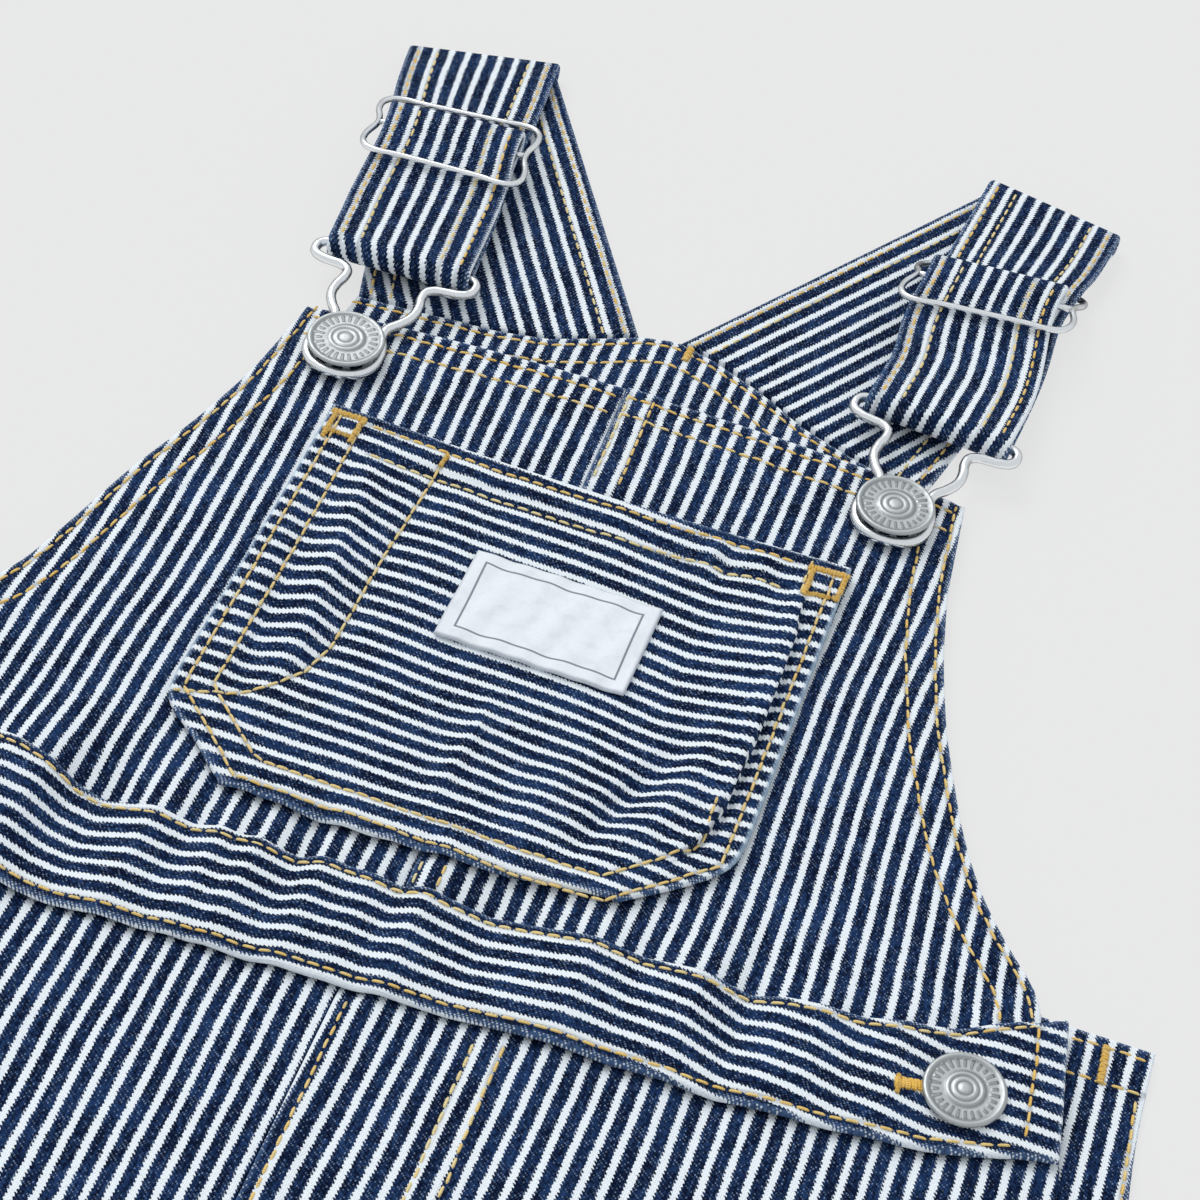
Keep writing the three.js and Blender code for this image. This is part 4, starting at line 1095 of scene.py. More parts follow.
def drift(table, x, y):
    """How far the stripes stray sideways: rows of a table by height, averaged over a short reach."""
    x, y = np.asarray(x, float), np.asarray(y, float)
    rows = [np.interp(x, table["x"], row) for row in table["rows"]]
    total = np.zeros(np.shape(x))
    for reach in (-3, 0, 3):
        value = rows[0] * 1.0
        for low, high, first, second in zip(table["y"][:-1], table["y"][1:], rows[:-1], rows[1:]):
            value = value + (second - first) * np.clip((y + reach - low) / (high - low), 0, 1)
        total = total + value / 3
    return total


BIB_DRIFT = {
    "left": {
        "x": [-60, -45, -25, -8],
        "y": [71, 84, 100, 112, 122, 132, 142, 150, 160, 168, 178],
        "rows": [
            [-1.2, -1.6, -1.3, -1.0], [-1.0, -1.0, -1.0, -1.0], [-1.1, -1.1, -1.1, -1.1],
            [-0.6, -0.6, -0.6, -0.6], [-0.5, -0.5, -0.5, -0.5], [-1.1, -1.1, -1.1, -1.1],
            [-1.2, -1.2, -1.2, -1.2], [-1.55, -1.55, -1.6, -1.8], [-1.95, -1.95, -2.2, -2.5],
            [-2.6, -2.6, -2.6, -2.7], [-3.4, -3.4, -2.95, -2.65],
        ],
    },
    "right": {
        "x": [1, 10, 30, 45, 55, 65, 78, 90],
        "y": [71, 76, 84, 92, 100, 115, 130, 140, 150, 160, 168, 178],
        "rows": [
            [-1.1, -1.0, -1.1, -1.4, -1.2, -1.1, -0.9, -0.9], [-1, -1, -1, -1.0, -1.0, -1.1, -0.9, -0.9],
            [-1, -1, -1, -0.9, -1.0, -1.55, -1.7, -2.3], [-1, -1, -1, -1.0, -1.4, -1.8, -2.3, -3.0],
            [-1, -1, -1, -1.0, -1.6, -2.4, -3.05, -3.2], [-1, -1, -1, -1.2, -2.1, -3.0, -3.3, -3.3],
            [-1, -1, -1, -1.5, -2.2, -3.1, -3.2, -3.2], [-1, -0.9, -0.8, -1.2, -1.7, -2.4, -2.4, -2.4],
            [-1, -0.7, -0.6, -0.7, -1.0, -1.3, -1.3, -1.3], [-1.1, -0.5, -0.5, -0.3, -0.6, -0.6, -0.6, -0.6],
            [-1.1, -0.6, -0.4, -0.15, -0.4, -0.4, -0.4, -0.4], [-1.5, -1.3, -0.3, 0.1, 0.1, 0.1, 0.1, 0.1],
        ],
    },
}


def strayed(table):
    """The cloth's own millimetres at each place of a panel whose stripes run up and down."""
    return lambda x, y: (x + STRIPE_START - drift(table, x, y), y)


def beside_seam(distance, low, high):
    """A line up the felled seam, a distance to the right of its fold."""
    return curve(lambda y: (float(seam_x(y)) + distance, y), low, high)


BIB_ROWS = {
    "left": [
        row(armhole("left", SEWN_IN["outer"]), 0.35), row(armhole("left", SEWN_IN["inner"]), 0.25),
        row(bib_top_line(TOP_ROWS["upper"])[:20], 0.2), row(bib_top_line(TOP_ROWS["lower"])[:20], 0.45),
    ],
    "right": [
        row(armhole("right", SEWN_IN["outer"]), 0.35), row(armhole("right", SEWN_IN["inner"]), 0.3),
        row(bib_top_line(TOP_ROWS["upper"])[19:], 0.2), row(bib_top_line(TOP_ROWS["lower"])[19:], 0.45),
        row(beside_seam(SEAM_ROWS["first"], 161, 184), 0.85),
        row(beside_seam(SEAM_ROWS["second"], 161, 184), 0.3),
        row(beside_seam(SEAM_ROWS["first"], 65, 73), 0.85),
        row(beside_seam(SEAM_ROWS["second_below"], 65, 73), 0.35),
    ],
}
pieces = {}
for side, sign in SIDES.items():
    turned = ["high", "left", "right"] if side == "right" else ["high", side]
    pieces[f"bib_{side}"] = panel(
        f"bib_{side}_cloth", bib_place(sign), bib_top,
        strayed(BIB_DRIFT[side]), (98, 124), BIB_PITCH, turned, BIB_ROWS[side],
    )
thread_bib = thread_piece("thread_bib", sewn(BIB_ROWS["left"] + BIB_ROWS["right"], bib_top))

# %% [markdown]
# The pocket is one patch with its edges turned under and two rows of stitches round it. A third
# row makes the narrow pencil slot. Its stripes run across the bib's and stray where it sags. The
# two mouth corners get a box of bartacks, dense golden thread, because that is where a pocket
# tears. The folded sides are rubbed to a thin pale line, which a value on their points marks.

# %% Pocket
POCKET_PITCH = 0.6
RUBBED = {"part": 0.85, "from": -0.5, "to": -0.3, "low": 86, "high": 90}
POCKET_DRIFT = {
    "x": [-42, -34, -22, -8, 5, 14, 28, 34, 42],
    "y": [76, 88, 98, 109, 122, 150],
    "rows": [
        [0.3, 0.0, 0.2, 0.5, 1.0, 0.6, 0.2, -0.2, 0.2],
        [-0.4, 0.2, 0.1, -0.1, 0.1, 0.0, -0.4, -1.1, -2.6],
        [-1.2, -0.5, -0.7, -1.4, -0.9, -1.6, -3.2, -2.5, -3.2],
        [-1.0, -0.1, -1.3, -2.4, -2.2, -2.6, -4.4, -4.0, -3.8],
        [-0.25, 0.1, -1.6, -2.5, -2.7, -3.1, -5.3, -4.6, -3.75],
        [0.1, -0.6, -2.0, -2.4, -2.9, -3.6, -4.6, -4.5, -3.8],
    ],
}


def pocket_place(u, v):
    """The outline of the pocket, whose mouth sags a little between its corners."""
    def width_at(y):
        return mix(-pocket_side(y, "left"), pocket_side(y, "right"), u)

    def height_at(x):
        sagging = 1 - np.minimum(np.abs((x - POCKET["x"]) / POCKET["half"]), 1) ** 2
        sag = POCKET["sag"] * sagging * smoothstep(v, POCKET["sag_from"], 1)
        return mix(pocket_foot(x), POCKET["top"], v) - sag

    return settle(mix(POCKET_SIDES["y"][0], POCKET["top"], v), width_at, height_at)


def mouth(inward, low=-44.5, high=45.5):
    """A line along the pocket's mouth, a distance down from its edge."""
    def at(x):
        part = (x - POCKET["x"]) / POCKET["half"]
        return x, POCKET["top"] - POCKET["sag"] * (1 - part**2) - inward
    return curve(at, low, high)


outer_row = inset(pocket_seam(), POCKET_OUTER_ROW)
inner_row = inset(pocket_seam(), POCKET_INNER_ROW)
outer_row[[0, -1], 1] -= 1.5
inner_row[[0, -1], 1] -= 1.5
UNDER_LEDGE = {"low": 100, "high": 148}
inner_low = np.vstack([inner_row[:5], [(inner_row[4][0], UNDER_LEDGE["low"])]])
inner_high = np.array([(inner_row[5][0], UNDER_LEDGE["high"]), inner_row[5]])
PENCIL_ROW = np.array([
    (-24.4, 153), (-24.9, 144), (-25.7, 133), (-26.2, 123), (-26.2, 113), (-26.4, 106),
    (-28.4, 99), (-31.8, 94), (-36.6, 90.6), (-41, 88.6), (-45.6, 87),
])
POCKET_ROWS = [
    row(outer_row, 0.45, **CLOSE), row(inner_low, 0.5, **CLOSE), row(inner_high, 0.45, **CLOSE),
    row(mouth(2.4, -39, 40), 0.3), row(mouth(8.6, -37, 39), 0.75), row(PENCIL_ROW, 0.55, **CLOSE),
]
POCKET_BARS = [
    ((-46.2, 155.7), (-40.2, 155.5), 1.6), ((-46.0, 150.8), (-40.6, 150.8), 1.2),
    ((-45.8, 155.0), (-45.8, 149.4), 1.4), ((-40.8, 155.0), (-41.0, 149.8), 1.4),
    ((41.5, 154.6), (48.0, 155.2), 1.7), ((42.3, 148.6), (47.8, 149.5), 1.2),
    ((42.0, 154.0), (42.0, 148.4), 1.4), ((47.6, 154.6), (47.4, 149.2), 1.4),
    ((-24.3, 153.6), (-24.6, 150.8), 1.3),
]
pieces["bib_pocket"] = panel(
    "bib_pocket_cloth", pocket_place, pocket_top,
    lambda x, y: (y + STRIPE_START - drift(POCKET_DRIFT, x, y), x), (95, 86), POCKET_PITCH,
    ["low", "left", "right", "high"], POCKET_ROWS, lean=ledge_lean,
)
x, y, _ = point_places(pieces["bib_pocket"].data).T / MM
from_side = np.minimum(x + pocket_side(y, "left"), pocket_side(y, "right") - x)
rubbed = smoothstep(-from_side, RUBBED["from"], RUBBED["to"]) * smoothstep(y, RUBBED["low"], RUBBED["high"])
set_values(pieces["bib_pocket"].data, "pale", RUBBED["part"] * rubbed)
thread_pocket = thread_piece("thread_pocket", sewn(POCKET_ROWS + bars(POCKET_BARS), pocket_top))

# %% [markdown]
# The label is a small strip of white weave, sewn down all round with thread of its own colour.

# %% Label
LABEL_PITCH = 0.6
LABEL_LEAN = 0.3


def label_place(u, v):
    """The label's outline, which leans a little."""
    lean = LABEL_LEAN * (v - 0.5)
    return LABEL["x"] + LABEL["width"] * (u - 0.5) + lean, LABEL["y"] + LABEL["height"] * (v - 0.5)


pieces["pocket_label"] = panel(
    "pocket_label_cloth", label_place, label_top, lambda x, y: (x, y),
    (LABEL["width"], LABEL["height"]), LABEL_PITCH, ["low", "high", "left", "right"], (), LABEL_CLOTH,
)

# %% [markdown]
# The waistband is a double strip that hides the raw edges of bib and legs. The seams inside it are
# shorter than the strip, so it puckers from end to end. Its stripes run along it and rise and fall
# with the cloth, a little closer together than on the bib.

# %% Waistband
BAND_PITCH = 0.72
STRIPE_RISE = {
    "x": [-106, -85, -64, -48, -40, -20, 0, 20, 40, 60, 75, 90, 106],
    "y": [65.3, 63.0, 62.0, 60.7, 60.9, 62.5, 64.3, 64.9, 65.8, 63.5, 62.0, 61.2, 62.4],
}
STRIPE_CLOSE = 1.05


def band_place(u, v):
    """The waistband's outline, between its slanted ends."""
    end = BAND_END["bottom"] + (BAND_END["top"] - BAND_END["bottom"]) * v
    x = end * (2 * u - 1)
    low, high = band_edge(x, "bottom"), band_edge(x, "top")
    return x, low + (high - low) * v


def band_line(part_up, inward, low=-100, high=100):
    """A line along the waistband's upper or lower edge, a distance in from it."""
    sign = -1 if part_up == "top" else 1
    return curve(lambda x: (x, float(band_edge(x, part_up)) + sign * inward), low, high, 80)


band_end_row = np.array([(99.2, 80.0), (100.4, 72), (101.6, 60)])
BAND_ROWS = [
    row(band_line("top", 1.5), 0.55), row(band_line("bottom", 1.7), 0.35),
    row(band_end_row, 0.2), row(band_end_row * [-1, 1], 0.2),
]
HIP_BUTTONS = {"left": (-91.2, 62.8), "right": (91.2, 63.6)}
BUTTONHOLE = [((9.8, -2.7), (4.6, -1.0), 2.6), ((9.9, -1.3), (9.5, -4.1), 1.2)]
buttonhole_bars = []
for side, sign in SIDES.items():
    x, y = HIP_BUTTONS[side]
    buttonhole_bars += [
        ((x - sign * ax, y + ay), (x - sign * bx, y + by), wide) for (ax, ay), (bx, by), wide in BUTTONHOLE
    ]
pieces["waistband_front"] = panel(
    "waistband_cloth", band_place, band_top,
    lambda x, y: ((y - read(STRIPE_RISE, "x", x, "y", 5)) * STRIPE_CLOSE, x), (214, 21), BAND_PITCH,
    ["low", "high", "left", "right"], BAND_ROWS, BAND_CLOTH,
)
thread_band = thread_piece("thread_band", sewn(BAND_ROWS + bars(buttonhole_bars, 0.0), band_top))

# %% [markdown]
# Each leg's front hangs from the waistband and ends in a turned-up hem. The two meet in the middle
# in a felled seam, and the right one carries the curved double row of a fly, which is only sewn.

# %% Fronts of the legs
LEG_PITCH = 1.5
RISE_SEAM = -0.7
HEM_FOLD = 0.5
FLY_RISE = 0.25


def leg_hem(y):
    """How much the turned-up hem adds to a leg's thickness."""
    return HEM_FOLD * (1 - smoothstep(y + HALF_LENGTH - HEM_DEPTH, -0.6, 0.6))


def front_leg_top(x, y):
    """The upper face of a leg's front, with its felled seam and its sewn fly."""
    band = smoothstep(y - band_edge(x, "bottom"), 0.2, 2.5) * BAND_SINK
    fell = FELL_RISE * smoothstep(x, RISE_SEAM - 0.1, RISE_SEAM + 0.3) * (1 - smoothstep(x, 3.0, 5.4))
    fell *= smoothstep(y, CROTCH_Y, CROTCH_Y + 14) * smoothstep(band_edge(x, "bottom") - y, -0.5, 1.5)
    fly = FLY_RISE * smoothstep(x, 7.5, 9) * (1 - smoothstep(x, 26.2, 27.2)) * smoothstep(y, -34, -26)
    return front_top(x, y) + leg_hem(y) + fell + fly - band


def front_leg_place(sign):
    """The outline of a leg's front: the middle seam, the inner leg, the outer side and the hem."""
    def place(u, v):
        nominal = -HALF_LENGTH + (60 + HALF_LENGTH) * v
        part = u if sign > 0 else 1 - u
        inner, outer = leg_edge(nominal, "inner"), leg_edge(nominal, "front")
        fold = RISE_SEAM * smoothstep(nominal, CROTCH_Y, CROTCH_Y + 14)
        near = np.where(inner < 0.5, fold, sign * inner)
        x = near + part * (sign * outer - near)
        top = band_edge(x, "bottom") + UNDER_BAND
        return x, -HALF_LENGTH + (top + HALF_LENGTH) * v
    return place


def hem_line(sign, column):
    """The stitch row of a leg's hem."""
    y = -HALF_LENGTH + HEM_DEPTH - 1.6
    near, far = float(leg_edge(y, "inner")) + 1, float(leg_edge(y, column)) - 1
    return np.array([(sign * near, y), (sign * (near + far) / 2, y + 0.3), (sign * far, y)])


LEG_DRIFT = {
    "left": {
        "x": [-50, -38, -28, -20, -11, -4],
        "y": [4, 24, 38],
        "rows": [
            [0.3, 0.55, 0.8, 0.6, 0.15, -0.25], [0.2, 0.15, 0.3, 0.4, 0.1, 0.0],
            [0.3, 0.5, 0.4, 0.1, -0.1, -0.1],
        ],
    },
    "right": {
        "x": [5, 25, 43, 62, 81, 91],
        "y": [4, 14, 24, 34, 42],
        "rows": [
            [0.2, 0.2, -0.1, -0.3, -0.6, -0.35], [0.15, 0.4, -0.15, -0.1, -0.55, -0.35],
            [0.8, 0.75, 0.2, 0.1, -0.55, -0.4], [1.15, 0.95, 0.55, 0.25, -0.4, -0.3],
            [1.3, 1.2, 0.75, 0.35, -0.2, -0.3],
        ],
    },
}
FLY_INNER = [(21.1, 45), (21.1, -20), (19.6, -29), (15, -36), (8, -40), (2, -42)]
FLY_OUTER = [(25.5, 46), (25.5, -20), (23.8, -31), (18, -39), (10, -44), (2, -46)]
LEG_ROWS = {
    "left": [row(hem_line(-1, "front"), 0.3)],
    "right": [
        row(hem_line(1, "front"), 0.3), row(curve(lambda y: (RISE_SEAM + 2.1, y), -58, 44), 0.4),
        row(FLY_INNER, 0.75), row(FLY_OUTER, 0.5),
    ],
}
for side, sign in SIDES.items():
    turned = ["low", "left"] if side == "right" else ["low"]
    pieces[f"front_leg_{side}"] = panel(
        f"front_leg_{side}_cloth", front_leg_place(sign), front_leg_top,
        strayed(LEG_DRIFT[side]), (112, 318), LEG_PITCH, turned, LEG_ROWS[side],
        bottom=lambda x, y: front_leg_top(x, y) - CLOTH - leg_hem(y),
    )
thread_legs = thread_piece("thread_legs", sewn(LEG_ROWS["left"] + LEG_ROWS["right"], front_leg_top))

# %% [markdown]
# The back lies on the table, so its underside is flat. What shows of it is the hip beside the
# waistband, the top edge between the straps, and a narrow margin down the sides.

# %% Backs of the legs and the back panel
BACK_PITCH = 2.2
BACK_PANEL_PITCH = 1.5
BACK_SEAM_GAP = 0.6
LEG_BACK_START, PANEL_START = 1.2, 0.4
HIP_TOP, HIP_HIDDEN = 85, 13


def on_the_table(x, y):
    """The flat underside of a panel that lies on the table."""
    return x * 0


def started(distance):
    """The cloth's own millimetres for straight stripes that start a distance to the left."""
    return lambda x, y: (x + distance, y)



def back_leg_high(x):
    """The upper edge of a leg's back, which is lower where the front hides it."""
    return HIP_TOP - HIP_HIDDEN * (1 - smoothstep(np.abs(x), 78, 98))


def back_face(x, y):
    """The upper face of the back, a little uneven where it shows."""
    wave = 0.22 * np.sin(x * 0.31 + y * 0.05) * np.cos(y * 0.11) + 0.16 * np.sin(y * 0.23 + x * 0.17)
    shown = smoothstep(np.abs(x), 104, 112) * smoothstep(y, 0, 40) + smoothstep(y, 175, 186)
    return BACK_FACE + (0.25 + wave) * np.clip(shown, 0, 1)


def back_leg_place(sign):
    """The outline of a leg's back, up to the hip."""
    def place(u, v):
        nominal = -HALF_LENGTH + (HIP_TOP + HALF_LENGTH) * v
        part = u if sign > 0 else 1 - u
        inner, outer = leg_edge(nominal, "inner"), leg_edge(nominal, "back")
        x = sign * (inner + part * (outer - inner))
        return x, -HALF_LENGTH + (back_leg_high(x) + HALF_LENGTH) * v
    return place


def back_place(u, v):
    """The outline of the back panel, from the legs' backs to its peaked upper edge."""
    nominal = mix(BACK["y"][0], BACK["y"][-1], v)
    x = read(BACK, "y", nominal, "half", 4) * (2 * u - 1)
    low = back_leg_high(x) + BACK_SEAM_GAP
    return x, low + (np.interp(x, BACK_TOP["x"], BACK_TOP["y"]) - low) * v


HIP_ROWS = [
    ([(104, 83), (111, 83.1), (116.5, 83)], 0.35), ([(104, 76.6), (111, 76.8), (118, 77)], 0.35),
    ([(116.2, 76), (117.4, 60), (119.4, 36)], 0.4),
]
BACK_TOP_LINE = np.array(list(zip(BACK_TOP["x"], BACK_TOP["y"])), float)
BACK_ROWS = [row(inset(BACK_TOP_LINE, -1.8), 0.25), row(inset(BACK_TOP_LINE, -6.4), 0.35)]
hip_rows = {
    sign: [row([(sign * x, y) for x, y in line], tint) for line, tint in HIP_ROWS] for sign in (-1, 1)
}
for side, sign in SIDES.items():
    pieces[f"back_leg_{side}"] = panel(
        f"back_leg_{side}_cloth", back_leg_place(sign), back_face, started(LEG_BACK_START),
        (112, 357), BACK_PITCH, ["low", "high", side], hip_rows[sign], bottom=on_the_table,
    )
pieces["back_panel"] = panel(
    "back_panel_cloth", back_place, back_face, started(PANEL_START),
    (150, 110), BACK_PANEL_PITCH, ["high", "left", "right"], BACK_ROWS, bottom=on_the_table,
)
BACK_BARS = [
    ((5.6, 202.2), (5.4, 198.6), 1.8), ((109.8, 83.2), (110.2, 76.6), 1.7),
    ((-109.8, 83.2), (-110.2, 76.6), 1.7),
]
back_stitches = sewn(BACK_ROWS + hip_rows[-1] + hip_rows[1] + bars(BACK_BARS), back_face)
thread_back = thread_piece("thread_back", back_stitches)

# %% [markdown]
# A strap is one long ribbon. It leaves the back panel, folds over the shoulder, runs down through
# the buckle, turns back up and ends round the slider's middle bar. Its rows are laid out along that
# route in the strap's own order, and its thickness is set off the middle surface on both sides.
# The slider pinches it and pulls it askew, so its rows sway and lean near the middle bar.

# %% Straps
STRAPS = {
    "left": {
        "sign": -1, "seam": (-55, -4.3), "fold": ((-71.6, 258), (-42.4, 265.6)),
        "end": ((-63.6, 196.6), (-36.3, 197.9)), "button": (-50.6, 172.4),
        "slider": {"top": 0.305, "middle": 0.46, "low": 0.618,
                   "lean": -0.0012, "shift": -0.8, "tucked": False},
        "sway": {"run": -0.6, "loop": -0.8}, "stripes": {"wide": (30.0, 27.4), "start": (1.0, 0.3)},
    },
    "right": {
        "sign": 1, "seam": (55, 3.6), "fold": ((73.6, 264.2), (46, 269.7)),
        "end": ((67, 197.6), (39.9, 199.4)), "button": (51.4, 174),
        "slider": {"top": 0.33, "middle": 0.462, "low": 0.594,
                   "lean": -0.0034, "shift": -2.1, "tucked": True},
        "sway": {"run": -1.0, "loop": -2.6}, "stripes": {"wide": (29.6, 28.0), "start": (1.6, 1.0)},
    },
}
WIRE, SLIDER_WIRE = 2.0, 1.6
WIRE_SHOWN, SLIDER_SHOWN = 0.92, 0.78
FOLD_RADIUS = 1.5
RUN_Z = STRAP_CLOTH / 2 + 2 * FOLD_RADIUS
BUCKLE_TURN = WIRE / 2 + GAP + STRAP_CLOTH / 2
BUCKLE_Z = 5.7
SLIDER_TURN = SLIDER_WIRE / 2 + GAP + STRAP_CLOTH / 2
END_Z = RUN_Z + STRAP_CLOTH + GAP
SLIDER_Z = END_Z + SLIDER_TURN
STRAP_SEAM_GAP = 0.5
TUCK = {"lift": 0.9, "reach": 0.07}
RETURN = {"tail": 0.12, "down": 0.13, "low_at": 0.7, "low": 6, "lift_at": 0.85, "lift": 6.2}
PINCH = {"depth": 1.3, "reach": 0.16}
LEAN_REACH = 0.3
SWAY = {"reach": 0.25, "from": 0.05, "to": 0.85}
LOOP_RUN = 3.2
STEPS = {"back": 60, "fold": 9, "run": 66, "buckle": 11, "return": 52, "turn": 12, "tail": 9}


def run_length(strap):
    """The length from the shoulder fold to the buckle, along the strap's middle."""
    return float(np.linalg.norm(mix(*strap["fold"], 0.5) - mix(*strap["end"], 0.5)))


def run_height(part, slider):
    """The height of the strap's lower run, raised where a slider is tucked under it."""
    bump = math.exp(-(((part - slider["top"]) / TUCK["reach"]) ** 2)) if slider["tucked"] else 0
    return mix(RUN_Z, BUCKLE_Z - BUCKLE_TURN, part) + TUCK["lift"] * bump


def return_height(part, slider):
    """The height of the strap's upper run, from the slider's middle bar to the buckle."""
    middle = slider["middle"]
    places = {
        "part": [middle, middle + RETURN["down"], RETURN["low_at"], RETURN["lift_at"], 1],
        "z": [SLIDER_Z + SLIDER_TURN, END_Z + STRAP_CLOTH + GAP, RETURN["low"], RETURN["lift"],
              BUCKLE_Z + BUCKLE_TURN],
    }
    return float(read(places, "part", part, "z", 0.03))


def beside_strap(strap, part, reach):
    """Places beside the strap's middle line, at distances towards the outer side."""
    part, reach = np.asarray(part, float)[..., None], np.asarray(reach, float)[..., None]
    outer = mix(strap["fold"][0], strap["end"][0], part)
    inner = mix(strap["fold"][1], strap["end"][1], part)
    way = (outer - inner) / np.linalg.norm(outer - inner, axis=-1, keepdims=True)
    return (outer + inner) / 2 + way * reach


def across_run(strap, part, z, shift, columns):
    """A row of points across the strap, from left to right, leaning with the slider near it."""
    slider = strap["slider"]
    off = part - slider["middle"]
    ends = [mix(strap["fold"][k], strap["end"][k], part) for k in (0, 1)]
    half = np.linalg.norm(ends[0] - ends[1]) / 2 - PINCH["depth"] * math.exp(-((off / PINCH["reach"]) ** 2))
    lean = slider["lean"] * math.exp(-((off / LEAN_REACH) ** 4))
    reach = strap["sign"] * (2 * columns - 1) * half + shift
    return np.column_stack([beside_strap(strap, part + lean * reach, reach), np.full(len(columns), z)])


def strap_rows(strap, columns):
    """Rows of the middle surface, with the name of the stretch that each belongs to."""
    slider, sway, length = strap["slider"], strap["sway"], run_length(strap)
    seam_ends = strap["seam"] if strap["sign"] < 0 else strap["seam"][::-1]
    x = mix(*seam_ends, columns)
    seam_y = np.interp(x, BACK_TOP["x"], BACK_TOP["y"]) + STRAP_SEAM_GAP
    seam = np.column_stack([x, seam_y, np.full(len(x), STRAP_CLOTH / 2)])
    folded = across_run(strap, 0, STRAP_CLOTH / 2, 0, columns)
    rows = [(mix(seam, folded, part), "back") for part in np.linspace(0, 1, STEPS["back"])]

    def straight(name, first, last, height_at, shift_at):
        for part in np.linspace(first, last, STEPS[name]):
            rows.append((across_run(strap, part, height_at(part), shift_at(part), columns), name))

    def bend(name, part, radius, z, first, last, shift):
        for k in range(1, STEPS[name]):
            angle = mix(first, last, k / STEPS[name])
            away_part = part + radius * math.cos(angle) / length
            rows.append((across_run(strap, away_part, z + radius * math.sin(angle), shift, columns), name))

    def run_shift(part):
        return sway["run"] * math.exp(-(((part - middle) / SWAY["reach"]) ** 2))

    def return_shift(part):
        return sway["loop"] * (1 - smoothstep(part, middle + SWAY["from"], SWAY["to"]))

    down, up = -math.pi / 2, math.pi / 2
    middle = slider["middle"]
    loop = middle - LOOP_RUN / length
    bend("fold", 0, FOLD_RADIUS, STRAP_CLOTH / 2 + FOLD_RADIUS, down, down - math.pi, 0)
    straight("run", 0, 1, lambda part: run_height(part, slider), run_shift)
    bend("buckle", 1, BUCKLE_TURN, BUCKLE_Z, down, up, 0)
    straight("return", 1, loop, lambda part: return_height(part, slider), return_shift)
    bend("turn", loop, SLIDER_TURN, SLIDER_Z, up, up + math.pi, sway["loop"])
    straight("tail", loop, middle + RETURN["tail"], lambda part: END_Z, lambda part: sway["loop"])
    return np.array([points for points, _ in rows]), [name for _, name in rows]


def surface_normals(points):
    """The direction off the strap's middle surface at each of its points."""
    ways = np.gradient(points, axis=0)
    sides = points[:, -1:] - points[:, :1]
    normals = np.cross(np.broadcast_to(sides, ways.shape), ways)
    return normals / np.linalg.norm(normals, axis=-1, keepdims=True)


STRAP_RIM = 0.75
STRAP_GRID = {"wide": 29, "pitch": 0.8}
STRAP_ROWS = ((2.2, 0.2), (6.0, 0.7), (-2.2, 0.25), (-6.0, 0.7))
strap_surfaces = {}


def strap_stripes(strap, points, names, columns):
    """Each point's distance across the stripes: off the inner edge, slanted on the back."""
    outer_first = strap["sign"] < 0
    inner = -1 if outer_first else 0
    first, last = names.index("buckle"), names.index("return")
    turned = np.clip((np.arange(len(names)) - first) / (last - first), 0, 1)[:, None]
    wide, start = (mix(*strap["stripes"][key], turned) for key in ("wide", "start"))
    across = (1 - columns if outer_first else columns)[None] * wide
    back_rows = names.count("back")
    origin = points[back_rows - 1, inner]
    direction = origin - points[0, inner]
    direction /= np.linalg.norm(direction)
    offset = points[:back_rows] - origin
    across[:back_rows] = np.abs(direction[0] * offset[..., 1] - direction[1] * offset[..., 0])
    return across + start


for side, strap in STRAPS.items():
    columns = stations(STRAP_GRID["wide"], STRAP_GRID["pitch"])
    points, names = strap_rows(strap, columns)
    normals = surface_normals(points)
    widths = np.linalg.norm(points[:, -1] - points[:, 0], axis=1)
    from_left = columns[None] * widths[:, None]
    rim = np.minimum(from_left, widths[:, None] - from_left)
    half = STRAP_CLOTH / 2 * np.sqrt(1 - (1 - np.clip(rim / STRAP_RIM, 0.02, 1)) ** 2)
    steps = np.linalg.norm(np.diff(points.mean(1), axis=0), axis=1)
    along = np.concatenate([[0], np.cumsum(steps)])[:, None]
    across = strap_stripes(strap, points, names, columns)
    cloth = np.stack([across, np.broadcast_to(along, across.shape)], -1)
    from_rows = np.minimum(*(np.abs(rim - distance) for distance, _ in STRAP_ROWS[:2]))
    off = normals * half[..., None]
    pieces[f"strap_{side}"] = sheet_piece(
        f"strap_{side}_cloth", points + off, points - off, cloth, rim, from_rows)
    strap_surfaces[side] = (points, normals, from_left, widths, names)


def ribbon_row(side, name, distance, faces_up):
    """A line on a strap's face, at a distance from one edge, along one of its stretches."""
    points, normals, from_left, widths, names = strap_surfaces[side]
    line, up = [], []
    for k in [k for k, other in enumerate(names) if other == name]:
        place = distance if distance > 0 else widths[k] + distance
        value = lambda grid: [np.interp(place, from_left[k], grid[k, :, axis]) for axis in range(3)]
        normal = np.array(value(normals)) * faces_up
        line.append(np.array(value(points)) + normal * (STRAP_CLOTH / 2 - 0.1))
        up.append(normal)
    return np.column_stack([line, up])


def ribbon_stitches(side, name, distance, faces_up, tint):
    """The stitches of one row on a strap, which stand on the strap's own face."""
    line = ribbon_row(side, name, distance, faces_up)
    low, high = walk(line, STITCH["pitch"] * 1.02, STITCH["length"])
    normals, radii = (low[:, 3:] + high[:, 3:]) / 2, np.full(len(low), STITCH["thread"])
    return low[:, :3], high[:, :3], normals, radii, thread_tints(tint, len(low))


strap_stitches = [
    ribbon_stitches(side, name, distance, faces_up, tint)
    for side in STRAPS
    for distance, tint in STRAP_ROWS
    for name, faces_up in (("back", 1), ("run", -1), ("return", 1))
]
thread_straps = thread_piece("thread_straps", strap_stitches)

# %% [markdown]
# Buckles and sliders are bent from wire. A curve through a few measured places, with a round
# section, does what the wire-bender does, and is then turned into a mesh.

